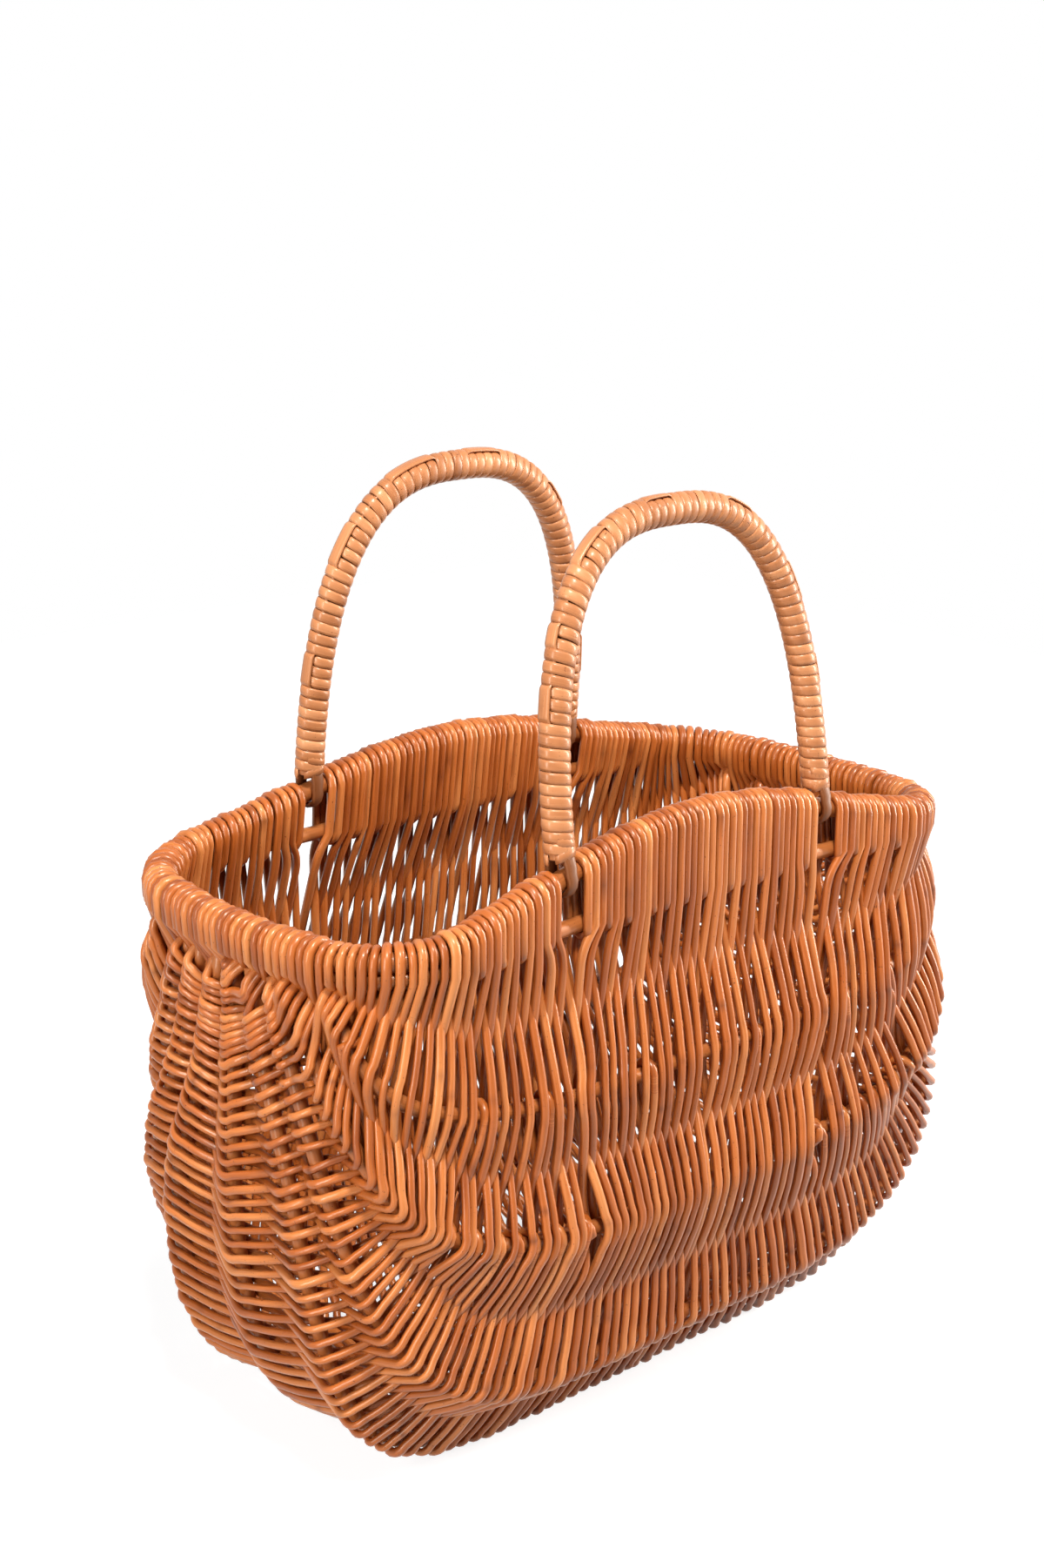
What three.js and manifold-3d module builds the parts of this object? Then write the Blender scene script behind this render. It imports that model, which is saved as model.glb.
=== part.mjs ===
// Wicker shopping basket with two swinging handles, in millimetres, +Z up.
// The length lies along X and the front long side faces -Y. The basket stands on the plane z = 0.
// A rim hoop and two side rails carry nine lengthwise ribs; willow rods are woven crosswise over the
// ribs and lapped round rim and rails. Each handle is one rod that ends in an eye round the rim hoop.
import * as THREE from "three";
import { mergeVertices } from "three/addons/utils/BufferGeometryUtils.js";
import Module from "manifold-3d";

const wasm = await Module();
wasm.setup();

// Rim hoop, measured on its centre line
const RIM_HALF_LENGTH = 210;
const RIM_HALF_WIDTH = 98;
const RIM_CORNER_RADIUS = 50;
const END_BOW = 4;
const SIDE_PINCH = 6;
const HUMP_RISE = 35;
const HUMP_HALF_SPAN = 229;
const RIM_ROD_RADIUS = 5;

// Side rails, which run under the rim; drops are below the rim's corners
const RAIL_ROD_RADIUS = 4;
const RAIL_DROP_AT_ENDS = 12;
const RAIL_DROP_AT_MIDDLE = 1;
const RAIL_OUTSET = 2;

// Ribs, counted from the middle of the basket: how far from the middle each starts on the end wall, how
// far out it passes at mid length and how far below the rim's corners, and how far it bows out between
const RIB_ROD_RADIUS = 3.75;
const RIB_START_DROP = 23;
const FLOOR_DROP = 276;
const RIB_1_START = 12;
const RIB_1_SPREAD = 61;
const RIB_1_BOW = 16;
const RIB_2_START = 27;
const RIB_2_SPREAD = 97;
const RIB_2_BOW = 20;
const RIB_2_DROP = 237;
const RIB_3_START = 45;
const RIB_3_SPREAD = 109;
const RIB_3_BOW = 7;
const RIB_3_DROP = 158;
const RIB_4_START = 61;
const RIB_4_SPREAD = 106;
const RIB_4_BOW = 1;
const RIB_4_DROP = 86;
const RIBS = [
  { name: "centre", start: 0, spread: 0, bow: 0, drop: FLOOR_DROP },
  { name: "1", start: RIB_1_START, spread: RIB_1_SPREAD, bow: RIB_1_BOW, drop: FLOOR_DROP },
  { name: "2", start: RIB_2_START, spread: RIB_2_SPREAD, bow: RIB_2_BOW, drop: RIB_2_DROP },
  { name: "3", start: RIB_3_START, spread: RIB_3_SPREAD, bow: RIB_3_BOW, drop: RIB_3_DROP },
  { name: "4", start: RIB_4_START, spread: RIB_4_SPREAD, bow: RIB_4_BOW, drop: RIB_4_DROP },
];

// How squarely each rib turns its corners, seen from the side (x) and from the end (z)
const BOXY_X = { centre: 6.0, 1: 6.0, 2: 4.6, 3: 3.4, 4: 3.4 };
const BOXY_Z = { centre: 3.6, 1: 3.6, 2: 3.0, 3: 3.4, 4: 3.5 };

// How much fuller the end walls are below the rim than at it
const LEFT_END_SWELL = 4;
const RIGHT_END_SWELL = 22;
const SWELL_TOP_DROP = 20;
const SWELL_FULL_DROP = 170;
const REAR_LEFT_TUCK = 11;
const TUCK_FULL_DROP = 60;

// Weave: willow rods over and under the ribs. One modelled strand stands for three or four rods that
// lie side by side; its width is measured in stations of a rib.
const STRAND_DIAMETER = 4.8;
const STRAND_WIDTH = 0.5;
const FLAT_SHARE = 0.6;
const STANDING_STRIPS = ["bottom_inner"];
const INNER_FACE = [3, 4];
const FIT_CLEARANCE = 0.5;
const WEAVE_CLEARANCE = 0.5;
const WEAVE_CLEARANCE_AT_SIDE_RIBS = 0.8;
const BUTT_GAP = 1;
const BASE_TRIM = 0.5;

// Handles
const HANDLE_HALF_SPAN = 93.4;
const HANDLE_HEIGHT = 164;
const HANDLE_BOXY = 2.74;
const HANDLE_ROD_RADIUS = 5.6;
const FRONT_HANDLE_TILT_DEG = 9;
const REAR_HANDLE_TILT_DEG = 3.5;
const SLOT_WIDTH = 17;
const EYE_WIDTH = 8;
const EYE_ROD_THICKNESS = 5;
const EYE_CLEARANCE = 1.5;
const EYE_NECK_HEIGHT = 18;
const EYE_NECK_HALF_WIDTH = 4;

// Winding of flat skein over the handle rod, with a leader strip along its outer side
const WINDING_START = 17.5;
const WINDING_LOOPS = 24;
const WINDING_STEPS = 10;
const SKEIN_THICKNESS = 1.2;
const SKEIN_GAP = 1;
const LEADER_WIDTH = 8;
const LEADER_THICKNESS = 1.1;
const LEADER_SEAT = 0.25;
const SKEIN_SEAT = 0.75;

// Mesh fineness
const END_STEPS = 2;
const CORNER_STEPS = 4;
const SIDE_STEPS = 2;
const MIDDLE_STEPS = 6;
const RIB_STEPS = 24;
const HANDLE_STEPS = 40;

// The ribs that twist most where they round the corners
const SIDE_RIBS = ["2", "3", "4"];

const deepestRib = Math.max(...RIBS.map((rib) => rib.drop));
const weaveHalfAtRib = RIB_ROD_RADIUS + STRAND_DIAMETER;
const rimCornerHeight = deepestRib + weaveHalfAtRib - BASE_TRIM;
const UP = new THREE.Vector3(0, 0, 1);

// Willow finishes
const peeledRod = { color: 0xb5642c, roughness: 0.5, metalness: 0 };
const weaveColour = { color: 0xc77a3c, roughness: 0.45, metalness: 0 };
const skeinColour = { color: 0xcf8445, roughness: 0.38, metalness: 0 };

// Turns a closed mesh's faces outwards and merges the vertices that coincide.
function closedGeometry(positions, indices) {
  const geometry = new THREE.BufferGeometry();
  geometry.setAttribute("position", new THREE.Float32BufferAttribute(positions, 3));
  geometry.setIndex(indices);
  return faceOut(mergeVertices(geometry, 1e-4));
}

function faceOut(geometry) {
  const p = geometry.attributes.position;
  const index = geometry.index;
  const [a, b, c] = [new THREE.Vector3(), new THREE.Vector3(), new THREE.Vector3()];
  let volume = 0;
  for (let i = 0; i < index.count; i += 3) {
    a.fromBufferAttribute(p, index.getX(i));
    b.fromBufferAttribute(p, index.getX(i + 1));
    c.fromBufferAttribute(p, index.getX(i + 2));
    volume += a.dot(b.cross(c));
  }
  if (volume < 0) {
    for (let i = 0; i < index.count; i += 3) {
      const second = index.getX(i + 1);
      index.setX(i + 1, index.getX(i + 2));
      index.setX(i + 2, second);
    }
  }
  geometry.computeVertexNormals();
  return geometry;
}

// Joins sections of several outlines into one closed body. stations[i].loops holds one outline and then
// its bores as lists of points, and stations[i].flat the same outlines in the section's own plane.
// Sides for which isTurned holds are split along their other diagonal.
function loftSections(stations, isRing, isTurned = () => false) {
  const positions = [];
  const indices = [];
  const loopSizes = stations[0].loops.map((loop) => loop.length);
  const perStation = loopSizes.reduce((sum, size) => sum + size, 0);
  stations.forEach((station) => {
    station.loops.forEach((loop) => loop.forEach((point) => positions.push(point.x, point.y, point.z)));
  });
  const spans = isRing ? stations.length : stations.length - 1;
  for (let i = 0; i < spans; i += 1) {
    const here = i * perStation;
    const next = ((i + 1) % stations.length) * perStation;
    let first = 0;
    loopSizes.forEach((size) => {
      for (let j = 0; j < size; j += 1) {
        const k = (j + 1) % size;
        const [a, b, c, d] = [here + first + j, here + first + k, next + first + k, next + first + j];
        indices.push(...(isTurned(j) ? [a, b, d, b, c, d] : [a, b, c, a, c, d]));
      }
      first += size;
    });
  }
  if (!isRing) {
    capOf(stations[0]).forEach(([i, j, k]) => indices.push(k, j, i));
    const last = (stations.length - 1) * perStation;
    capOf(stations[stations.length - 1]).forEach(([i, j, k]) => indices.push(last + i, last + j, last + k));
  }
  return closedGeometry(positions, indices);
}

// End face of a loft, wound the way its outline runs
function capOf(station) {
  const [outline, ...bores] = station.flat;
  const faces = THREE.ShapeUtils.triangulateShape(outline, bores);
  return THREE.ShapeUtils.isClockWise(outline) ? faces.map(([i, j, k]) => [k, j, i]) : faces;
}

// A section given in its own plane: origin, two directions, and outlines of [u, v] pairs.
function sectionAt(origin, uDirection, vDirection, outlines) {
  const flat = outlines.map((outline) => outline.map(([u, v]) => new THREE.Vector2(u, v)));
  const loops = outlines.map((outline) => outline.map(([u, v]) => origin.clone()
    .addScaledVector(uDirection, u)
    .addScaledVector(vDirection, v)));
  return { flat, loops };
}

function polygon(centreU, centreV, radius, sides, fromDegrees = 0) {
  return Array.from({ length: sides }, (_, i) => {
    const angle = THREE.MathUtils.degToRad(fromDegrees + (360 * i) / sides);
    return [centreU + radius * Math.cos(angle), centreV + radius * Math.sin(angle)];
  });
}

function tangentsOf(points) {
  return points.map((_, i) => {
    const before = points[Math.max(i - 1, 0)];
    const after = points[Math.min(i + 1, points.length - 1)];
    return after.clone().sub(before).normalize();
  });
}

// Plan of the rim: one half from the left end's middle, round the front, to the right end's middle.
// Each station gives its place, its outward direction, and whether a handle slot starts there.
function rimHalf() {
  const straightY = RIM_HALF_WIDTH - RIM_CORNER_RADIUS;
  const straightX = RIM_HALF_LENGTH - RIM_CORNER_RADIUS;
  const quarter = [];
  for (let i = 0; i < END_STEPS; i += 1) {
    const y = (straightY * i) / END_STEPS;
    const x = RIM_HALF_LENGTH + END_BOW * (1 - (y / straightY) ** 2);
    quarter.push({ x, y, out: new THREE.Vector2(1, (2 * END_BOW * y) / straightY ** 2) });
  }
  for (let i = 0; i <= CORNER_STEPS; i += 1) {
    const angle = ((Math.PI / 2) * i) / CORNER_STEPS;
    const out = new THREE.Vector2(Math.cos(angle), Math.sin(angle));
    quarter.push({
      x: straightX + RIM_CORNER_RADIUS * out.x,
      y: straightY + RIM_CORNER_RADIUS * out.y,
      out,
    });
  }
  const slotOuter = HANDLE_HALF_SPAN + SLOT_WIDTH / 2;
  const slotInner = HANDLE_HALF_SPAN - SLOT_WIDTH / 2;
  const alongSide = (x, slotEdge) => ({
    x,
    y: sideY(x),
    out: new THREE.Vector2((-2 * SIDE_PINCH * x) / straightX ** 2, 1),
    slotEdge,
  });
  for (let i = 1; i < SIDE_STEPS; i += 1) {
    quarter.push(alongSide(straightX + ((slotOuter - straightX) * i) / SIDE_STEPS));
  }
  quarter.push(alongSide(slotOuter, "outer"), alongSide(slotInner, "inner"));
  for (let i = 1; i < MIDDLE_STEPS / 2; i += 1) {
    quarter.push(alongSide(slotInner * (1 - (2 * i) / MIDDLE_STEPS)));
  }
  const left = quarter.map((s) => place(-s.x, -s.y, -s.out.x, -s.out.y, s.slotEdge));
  const middle = alongSide(0);
  const right = quarter.map((s) => place(s.x, -s.y, s.out.x, -s.out.y, s.slotEdge)).reverse();
  return [...left, place(0, -middle.y, 0, -1), ...right];
}

function sideY(x) {
  const straightX = RIM_HALF_LENGTH - RIM_CORNER_RADIUS;
  return RIM_HALF_WIDTH - SIDE_PINCH * (1 - (x / straightX) ** 2);
}

function rimRise(x) {
  const share = Math.min(Math.abs(x) / HUMP_HALF_SPAN, 1);
  return HUMP_RISE * (0.5 + 0.5 * Math.cos(Math.PI * share));
}

function place(x, y, outX, outY, slotEdge) {
  const out = new THREE.Vector3(outX, outY, 0).normalize();
  const rim = new THREE.Vector3(x, y, rimCornerHeight + rimRise(x));
  const span = Math.max(0, 1 - (x / RIM_HALF_LENGTH) ** 2);
  const drop = RAIL_DROP_AT_ENDS + (RAIL_DROP_AT_MIDDLE - RAIL_DROP_AT_ENDS) * Math.sqrt(span);
  const rail = new THREE.Vector3(x, y, rimCornerHeight - drop)
    .addScaledVector(out, RAIL_OUTSET * Math.sqrt(span));
  return { rim, rail, out, slotEdge };
}

function mirrored(station) {
  const flip = (v) => new THREE.Vector3(v.x, -v.y, v.z);
  const [rim, rail, out] = [flip(station.rim), flip(station.rail), flip(station.out)];
  return { rim, rail, out, slotEdge: station.slotEdge };
}

const frontHalf = rimHalf();
const rearHalf = frontHalf.map(mirrored);
const wholeRim = [...frontHalf, ...rearHalf.slice(1, -1).reverse()];

// Rim hoop: one thick rod bent into a closed hoop
function rimHoop() {
  const stations = wholeRim.map((s) => sectionAt(s.rim, s.out, UP, [polygon(0, 0, RIM_ROD_RADIUS, 8)]));
  return loftSections(stations, true);
}

// Side rail: a rod under the rim, butting against the other side's rail at each end of the basket
function sideRail(half) {
  const butt = (station, next) => ({
    ...station,
    rail: station.rail.clone().lerp(next.rail, BUTT_GAP / station.rail.distanceTo(next.rail)),
  });
  const last = half.length - 1;
  const ownHalf = [butt(half[0], half[1]), ...half.slice(1, -1), butt(half[last], half[last - 1])];
  return loftSections(
    ownHalf.map((s) => sectionAt(s.rail, s.out, UP, [polygon(0, 0, RAIL_ROD_RADIUS, 6)])),
    false,
  );
}

// Border: strands lapped side by side round rim and rail, as a sleeve with a bore for each rod
function borderSection({ rim, rail, out }) {
  const railU = rail.clone().sub(rim).dot(out);
  const railV = rail.z - rim.z;
  const top = RIM_ROD_RADIUS + STRAND_DIAMETER;
  const bottom = RAIL_ROD_RADIUS + STRAND_DIAMETER;
  const outline = [
    ...polygon(0, 0, top, 6).slice(0, 4),
    ...polygon(railU, railV, bottom, 6, 180).slice(0, 4),
  ];
  const rimBore = polygon(0, 0, RIM_ROD_RADIUS + FIT_CLEARANCE, 8).reverse();
  const railBore = polygon(railU, railV, RAIL_ROD_RADIUS + FIT_CLEARANCE, 6).reverse();
  return sectionAt(rim, out, UP, [outline, rimBore, railBore]);
}

function border(stations) {
  return loftSections(stations.map(borderSection), false);
}

function slotPlace(half, edge, side) {
  return half.findIndex((s) => s.slotEdge === edge && Math.sign(s.rim.x) === side);
}

function endBorder(side) {
  const edge = slotPlace(frontHalf, "outer", side);
  const pick = (half) => (side < 0 ? half.slice(0, edge + 1) : half.slice(edge));
  const front = pick(frontHalf);
  const rear = pick(rearHalf);
  const aroundEnd = side < 0
    ? [...front.reverse(), ...rear.slice(1)]
    : [...front, ...rear.reverse().slice(1)];
  return border(aroundEnd);
}

function middleBorder(half) {
  return border(half.slice(slotPlace(half, "inner", -1), slotPlace(half, "inner", 1) + 1));
}

// Rib centre line: down the left end wall, along the basket, and up the right end wall. The cube of the
// cosine spreads its places evenly over the long flat stretch.
class RibLine extends THREE.Curve {
  constructor(rib, side) {
    super();
    this.rib = rib;
    this.side = side;
    this.arcLengthDivisions = 2000;
  }

  getPoint(t, target = new THREE.Vector3()) {
    const { name, start, spread, bow } = this.rib;
    const cosine = Math.cos(Math.PI * t) ** 3;
    const depth = (1 - cosine ** 2) ** (1 / BOXY_Z[name]);
    const y = start + (spread - start) * depth + bow * Math.sin(Math.PI * depth);
    const drop = RIB_START_DROP + (this.rib.drop - RIB_START_DROP) * depth;
    const swellShare = THREE.MathUtils.smoothstep(drop, SWELL_TOP_DROP, SWELL_FULL_DROP);
    const swell = (cosine > 0 ? LEFT_END_SWELL : RIGHT_END_SWELL) * swellShare;
    const reach = endReach(start) + swell;
    const x = -reach * Math.sign(cosine) * Math.abs(cosine) ** (2 / BOXY_X[name]);
    const tuck = x < 0 && this.side > 0 ? rearLeftTuck(x, y, drop) : 0;
    return target.set(x + tuck, this.side * y - tuck, rimCornerHeight - drop);
  }
}

// The wall's rear left corner is drawn in a little, below the rim
function rearLeftTuck(x, y, drop) {
  const cornerShare = Math.min(1, (x / RIM_HALF_LENGTH) ** 4 * (y / RIM_HALF_WIDTH) ** 2);
  const depthShare = THREE.MathUtils.smoothstep(drop, RIB_START_DROP, TUCK_FULL_DROP);
  return REAR_LEFT_TUCK * Math.SQRT1_2 * cornerShare * depthShare;
}

// How far out the rim's end lies at a distance y from the middle
function endReach(y) {
  const straightY = RIM_HALF_WIDTH - RIM_CORNER_RADIUS;
  if (y <= straightY) {
    return RIM_HALF_LENGTH + END_BOW * (1 - (y / straightY) ** 2);
  }
  const beyond = y - straightY;
  return RIM_HALF_LENGTH - RIM_CORNER_RADIUS + Math.sqrt(RIM_CORNER_RADIUS ** 2 - beyond ** 2);
}

function ribStations(rib, side) {
  return new RibLine(rib, side).getSpacedPoints(RIB_STEPS);
}

// The part of a side rail that lies over the outermost rib, at as many stations as the rib has
function railStations(half, side) {
  const outermost = RIBS[RIBS.length - 1];
  const line = new THREE.CatmullRomCurve3(half.map((s) => s.rail), false, "centripetal");
  const points = line.getSpacedPoints(RIB_STEPS * 10);
  const first = points.findIndex((point) => side * point.y >= outermost.start);
  const kept = points.slice(first, points.length - first);
  const spacing = (kept.length - 1) / RIB_STEPS;
  return Array.from({ length: RIB_STEPS + 1 }, (_, i) => kept[Math.round(i * spacing)]);
}

// Lines in order from the rear rail, under the basket, to the front rail
const ribLines = [
  { name: "rail", points: railStations(rearHalf, 1) },
  ...RIBS.slice(1).reverse().map((rib) => ({ name: rib.name, points: ribStations(rib, 1) })),
  { name: "centre", points: ribStations(RIBS[0], 1) },
  ...RIBS.slice(1).map((rib) => ({ name: rib.name, points: ribStations(rib, -1) })),
  { name: "rail", points: railStations(frontHalf, -1) },
];

// Outward direction and across direction of the basket's wall at each station of each line
ribLines.forEach((line, row) => {
  const tangents = tangentsOf(line.points);
  line.out = line.points.map((point, i) => {
    const before = ribLines[Math.max(row - 1, 0)].points[i];
    const after = ribLines[Math.min(row + 1, ribLines.length - 1)].points[i];
    const back = point.clone().sub(before).normalize();
    const forth = after.clone().sub(point).normalize();
    return tangents[i].clone().cross(back.add(forth)).normalize();
  });
  line.across = line.out.map((out, i) => out.clone().cross(tangents[i]).normalize());
  line.tangents = tangents;
});

function rib(line) {
  const stations = line.points.map((point, i) => sectionAt(
    point,
    line.across[i],
    line.out[i],
    [polygon(0, 0, RIB_ROD_RADIUS, 6)],
  ));
  return loftSections(stations, false);
}

// A place beside a line, at a distance from it across the wall, at any share of the way between stations
function besideLine(line, station, distance) {
  const i = Math.min(Math.floor(station), RIB_STEPS - 1);
  const edge = (j) => line.points[j].clone().addScaledVector(line.across[j], distance);
  return {
    point: edge(i).lerp(edge(i + 1), station - i),
    out: line.out[i].clone().lerp(line.out[i + 1], station - i),
  };
}

// How far a strand strip stays from the middle of the rod at its edge
function stripEdge(line) {
  const rod = line.name === "rail" ? RAIL_ROD_RADIUS + STRAND_DIAMETER : RIB_ROD_RADIUS;
  return rod + (SIDE_RIBS.includes(line.name) ? WEAVE_CLEARANCE_AT_SIDE_RIBS : WEAVE_CLEARANCE);
}

// Section along a strand, from one line to the next: outside one of them and inside the other, one rod
// thick, and level with its neighbours at mid span, where they pass each other
function strandSection(from, to, station, isOutsideFirst) {
  const start = besideLine(from, station, stripEdge(from));
  const end = besideLine(to, station, -stripEdge(to));
  const middle = {
    point: start.point.clone().lerp(end.point, 0.5),
    out: start.out.clone().add(end.out).normalize(),
  };
  const level = (line, isOutside) => {
    const seat = (line.name === "rail" ? 0 : RIB_ROD_RADIUS) + STRAND_DIAMETER / 2;
    return isOutside ? seat : -seat;
  };
  const width = start.point.distanceTo(end.point);
  const places = [
    { ...start, u: 0, v: level(from, isOutsideFirst) },
    { ...middle, u: width / 2, v: 0 },
    { ...end, u: width, v: level(to, !isOutsideFirst) },
  ];
  const face = (side) => places.map(({ point, out, u, v }) => {
    const height = v + (side * STRAND_DIAMETER) / 2;
    return { point: point.clone().addScaledVector(out, height), flat: new THREE.Vector2(u, height) };
  });
  const outline = [...face(1), ...face(-1).reverse()];
  return { loops: [outline.map((corner) => corner.point)], flat: [outline.map((corner) => corner.flat)] };
}

// Woven strip between two neighbouring lines: strands side by side, each over where the next is under.
// A strand that the basket stands on is flat across part of its width.
function wovenStrip(row, isStanding) {
  const [from, to] = [ribLines[row], ribLines[row + 1]];
  const edges = isStanding ? [-FLAT_SHARE / 2, FLAT_SHARE / 2] : [0];
  const stations = [];
  for (let strand = 0; strand * STRAND_WIDTH <= RIB_STEPS; strand += 1) {
    edges.forEach((edge) => {
      const station = THREE.MathUtils.clamp((strand + edge) * STRAND_WIDTH, 0, RIB_STEPS);
      stations.push(strandSection(from, to, station, (row + strand) % 2 === 1));
    });
  }
  return loftSections(stations, false, (side) => INNER_FACE.includes(side));
}

// Boolean helpers
function solidOf(geometry) {
  const bare = geometry.clone();
  bare.deleteAttribute("normal");
  bare.deleteAttribute("uv");
  const merged = mergeVertices(bare, 1e-4);
  return new wasm.Manifold(new wasm.Mesh({
    numProp: 3,
    vertProperties: new Float32Array(merged.attributes.position.array),
    triVerts: new Uint32Array(merged.index.array),
  }));
}

function geometryOf(solid) {
  const mesh = solid.getMesh();
  const geometry = new THREE.BufferGeometry();
  geometry.setAttribute("position", new THREE.Float32BufferAttribute(mesh.vertProperties, 3));
  geometry.setIndex(Array.from(mesh.triVerts));
  geometry.computeVertexNormals();
  return geometry;
}

// Trims a woven strip flat where the basket stands
function standingFlat(geometry) {
  const below = new THREE.BoxGeometry(4 * RIM_HALF_LENGTH, 4 * RIM_HALF_WIDTH, deepestRib);
  below.translate(0, 0, -deepestRib / 2);
  return geometryOf(solidOf(geometry).subtract(solidOf(below)));
}

// Handle arch in its own plane: x along the basket, z up from the hinge line
class HandleArch extends THREE.Curve {
  getPoint(t, target = new THREE.Vector3()) {
    const angle = Math.PI * t;
    const cosine = Math.cos(angle);
    const x = -HANDLE_HALF_SPAN * Math.sign(cosine) * Math.abs(cosine) ** (2 / HANDLE_BOXY);
    const z = HANDLE_HEIGHT * Math.sin(angle) ** (2 / HANDLE_BOXY);
    return target.set(x, 0, Math.max(z, 0));
  }
}

const arch = new HandleArch();
arch.arcLengthDivisions = 2000;
const archLength = arch.getLength();

// A point of the arch at a distance along it, with the direction away from the hand opening
function archFrame(distance) {
  const share = THREE.MathUtils.clamp(distance / archLength, 0, 1);
  const nudge = 1 / archLength;
  const point = arch.getPointAt(share);
  const before = arch.getPointAt(Math.max(share - nudge, 0));
  const after = arch.getPointAt(Math.min(share + nudge, 1));
  const tangent = after.sub(before).normalize();
  const outward = new THREE.Vector3(-tangent.z, 0, tangent.x);
  return { point, outward };
}

const SIDEWAYS = new THREE.Vector3(0, 1, 0);

function alongArch(from, to, steps, outlines) {
  return Array.from({ length: steps + 1 }, (_, i) => {
    const { point, outward } = archFrame(from + ((to - from) * i) / steps);
    return sectionAt(point, outward, SIDEWAYS, outlines);
  });
}

// Eye at the rod's shaved end, bent round the rim hoop: a tear-shaped loop seen along the hinge line
function eye(footX) {
  const inner = RIM_ROD_RADIUS + EYE_CLEARANCE;
  const outer = inner + EYE_ROD_THICKNESS;
  const outline = new THREE.Shape();
  outline.absarc(0, 0, outer, Math.PI, 2 * Math.PI, false);
  outline.lineTo(outer, EYE_ROD_THICKNESS);
  outline.lineTo(EYE_NECK_HALF_WIDTH, EYE_NECK_HEIGHT);
  outline.lineTo(-EYE_NECK_HALF_WIDTH, EYE_NECK_HEIGHT);
  outline.lineTo(-outer, EYE_ROD_THICKNESS);
  const bore = new THREE.Path();
  bore.absarc(0, 0, inner, Math.PI, 2 * Math.PI, false);
  bore.lineTo(inner, EYE_ROD_THICKNESS);
  bore.lineTo(0, EYE_NECK_HEIGHT - 2 * EYE_ROD_THICKNESS);
  bore.lineTo(-inner, EYE_ROD_THICKNESS);
  outline.holes.push(bore);
  const settings = { depth: EYE_WIDTH, bevelEnabled: false, curveSegments: 6 };
  const geometry = new THREE.ExtrudeGeometry(outline, settings);
  geometry.rotateX(Math.PI / 2);
  geometry.rotateZ(Math.PI / 2);
  geometry.translate(footX - EYE_WIDTH / 2, 0, 0);
  return geometry;
}

function handleRod() {
  const rodStart = EYE_NECK_HEIGHT - EYE_ROD_THICKNESS;
  const outline = polygon(0, 0, HANDLE_ROD_RADIUS, 6);
  const stations = alongArch(rodStart, archLength - rodStart, HANDLE_STEPS, [outline]);
  const rod = solidOf(loftSections(stations, false));
  return geometryOf(rod.add(solidOf(eye(-HANDLE_HALF_SPAN))).add(solidOf(eye(HANDLE_HALF_SPAN))));
}

const skeinInner = HANDLE_ROD_RADIUS + SKEIN_SEAT;

// Winding: one flat skein coiled round the rod from foot to foot
function winding() {
  const covered = archLength - 2 * WINDING_START;
  const pitch = covered / (WINDING_LOOPS + 1);
  const skeinWidth = pitch - SKEIN_GAP;
  const count = WINDING_LOOPS * WINDING_STEPS;
  const stations = Array.from({ length: count + 1 }, (_, i) => {
    const loops = i / WINDING_STEPS;
    const centre = WINDING_START + pitch * (0.5 + loops);
    const angle = 2 * Math.PI * loops;
    const corner = (shift, radius) => {
      const { point, outward } = archFrame(centre + shift);
      return point
        .addScaledVector(outward, radius * Math.cos(angle))
        .addScaledVector(SIDEWAYS, radius * Math.sin(angle));
    };
    const half = skeinWidth / 2;
    const outline = [[-half, 0], [half, 0], [half, SKEIN_THICKNESS], [-half, SKEIN_THICKNESS]];
    return {
      loops: [outline.map(([shift, height]) => corner(shift, skeinInner + height))],
      flat: [outline.map(([shift, height]) => new THREE.Vector2(shift, height))],
    };
  });
  let leastGap = Infinity;
  for (let i = 0; i + WINDING_STEPS < stations.length; i += 1) {
    const next = stations[i + WINDING_STEPS].loops[0];
    const here = stations[i].loops[0];
    leastGap = Math.min(leastGap, here[1].distanceTo(next[0]), here[2].distanceTo(next[3]));
  }
  console.log(`winding: least gap between turns ${leastGap.toFixed(2)} mm`);
  return loftSections(stations, false);
}

// Leader: a flat strip along the outer side of the winding
function leader() {
  const seat = skeinInner + SKEIN_THICKNESS + LEADER_SEAT;
  const outline = [
    [seat, -LEADER_WIDTH / 2], [seat + LEADER_THICKNESS, -LEADER_WIDTH / 2],
    [seat + LEADER_THICKNESS, LEADER_WIDTH / 2], [seat, LEADER_WIDTH / 2],
  ];
  return loftSections(alongArch(WINDING_START, archLength - WINDING_START, HANDLE_STEPS, [outline]), false);
}

const basket = new THREE.Group();

function addPiece(parent, name, geometry, finish) {
  const mesh = new THREE.Mesh(geometry, new THREE.MeshStandardMaterial(finish));
  mesh.name = name;
  parent.add(mesh);
}

addPiece(basket, "rim_hoop", rimHoop(), peeledRod);
addPiece(basket, "rail_front", sideRail(frontHalf), peeledRod);
addPiece(basket, "rail_rear", sideRail(rearHalf), peeledRod);
addPiece(basket, "border_left_end", endBorder(-1), weaveColour);
addPiece(basket, "border_right_end", endBorder(1), weaveColour);
addPiece(basket, "border_front", middleBorder(frontHalf), weaveColour);
addPiece(basket, "border_rear", middleBorder(rearHalf), weaveColour);

const centreRow = RIBS.length;
ribLines.forEach((line, row) => {
  const side = row < centreRow ? "rear" : "front";
  if (line.name === "centre") {
    addPiece(basket, "rib_centre", rib(line), peeledRod);
  } else if (line.name !== "rail") {
    addPiece(basket, `rib_${side}_${line.name}`, rib(line), peeledRod);
  }
});

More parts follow.
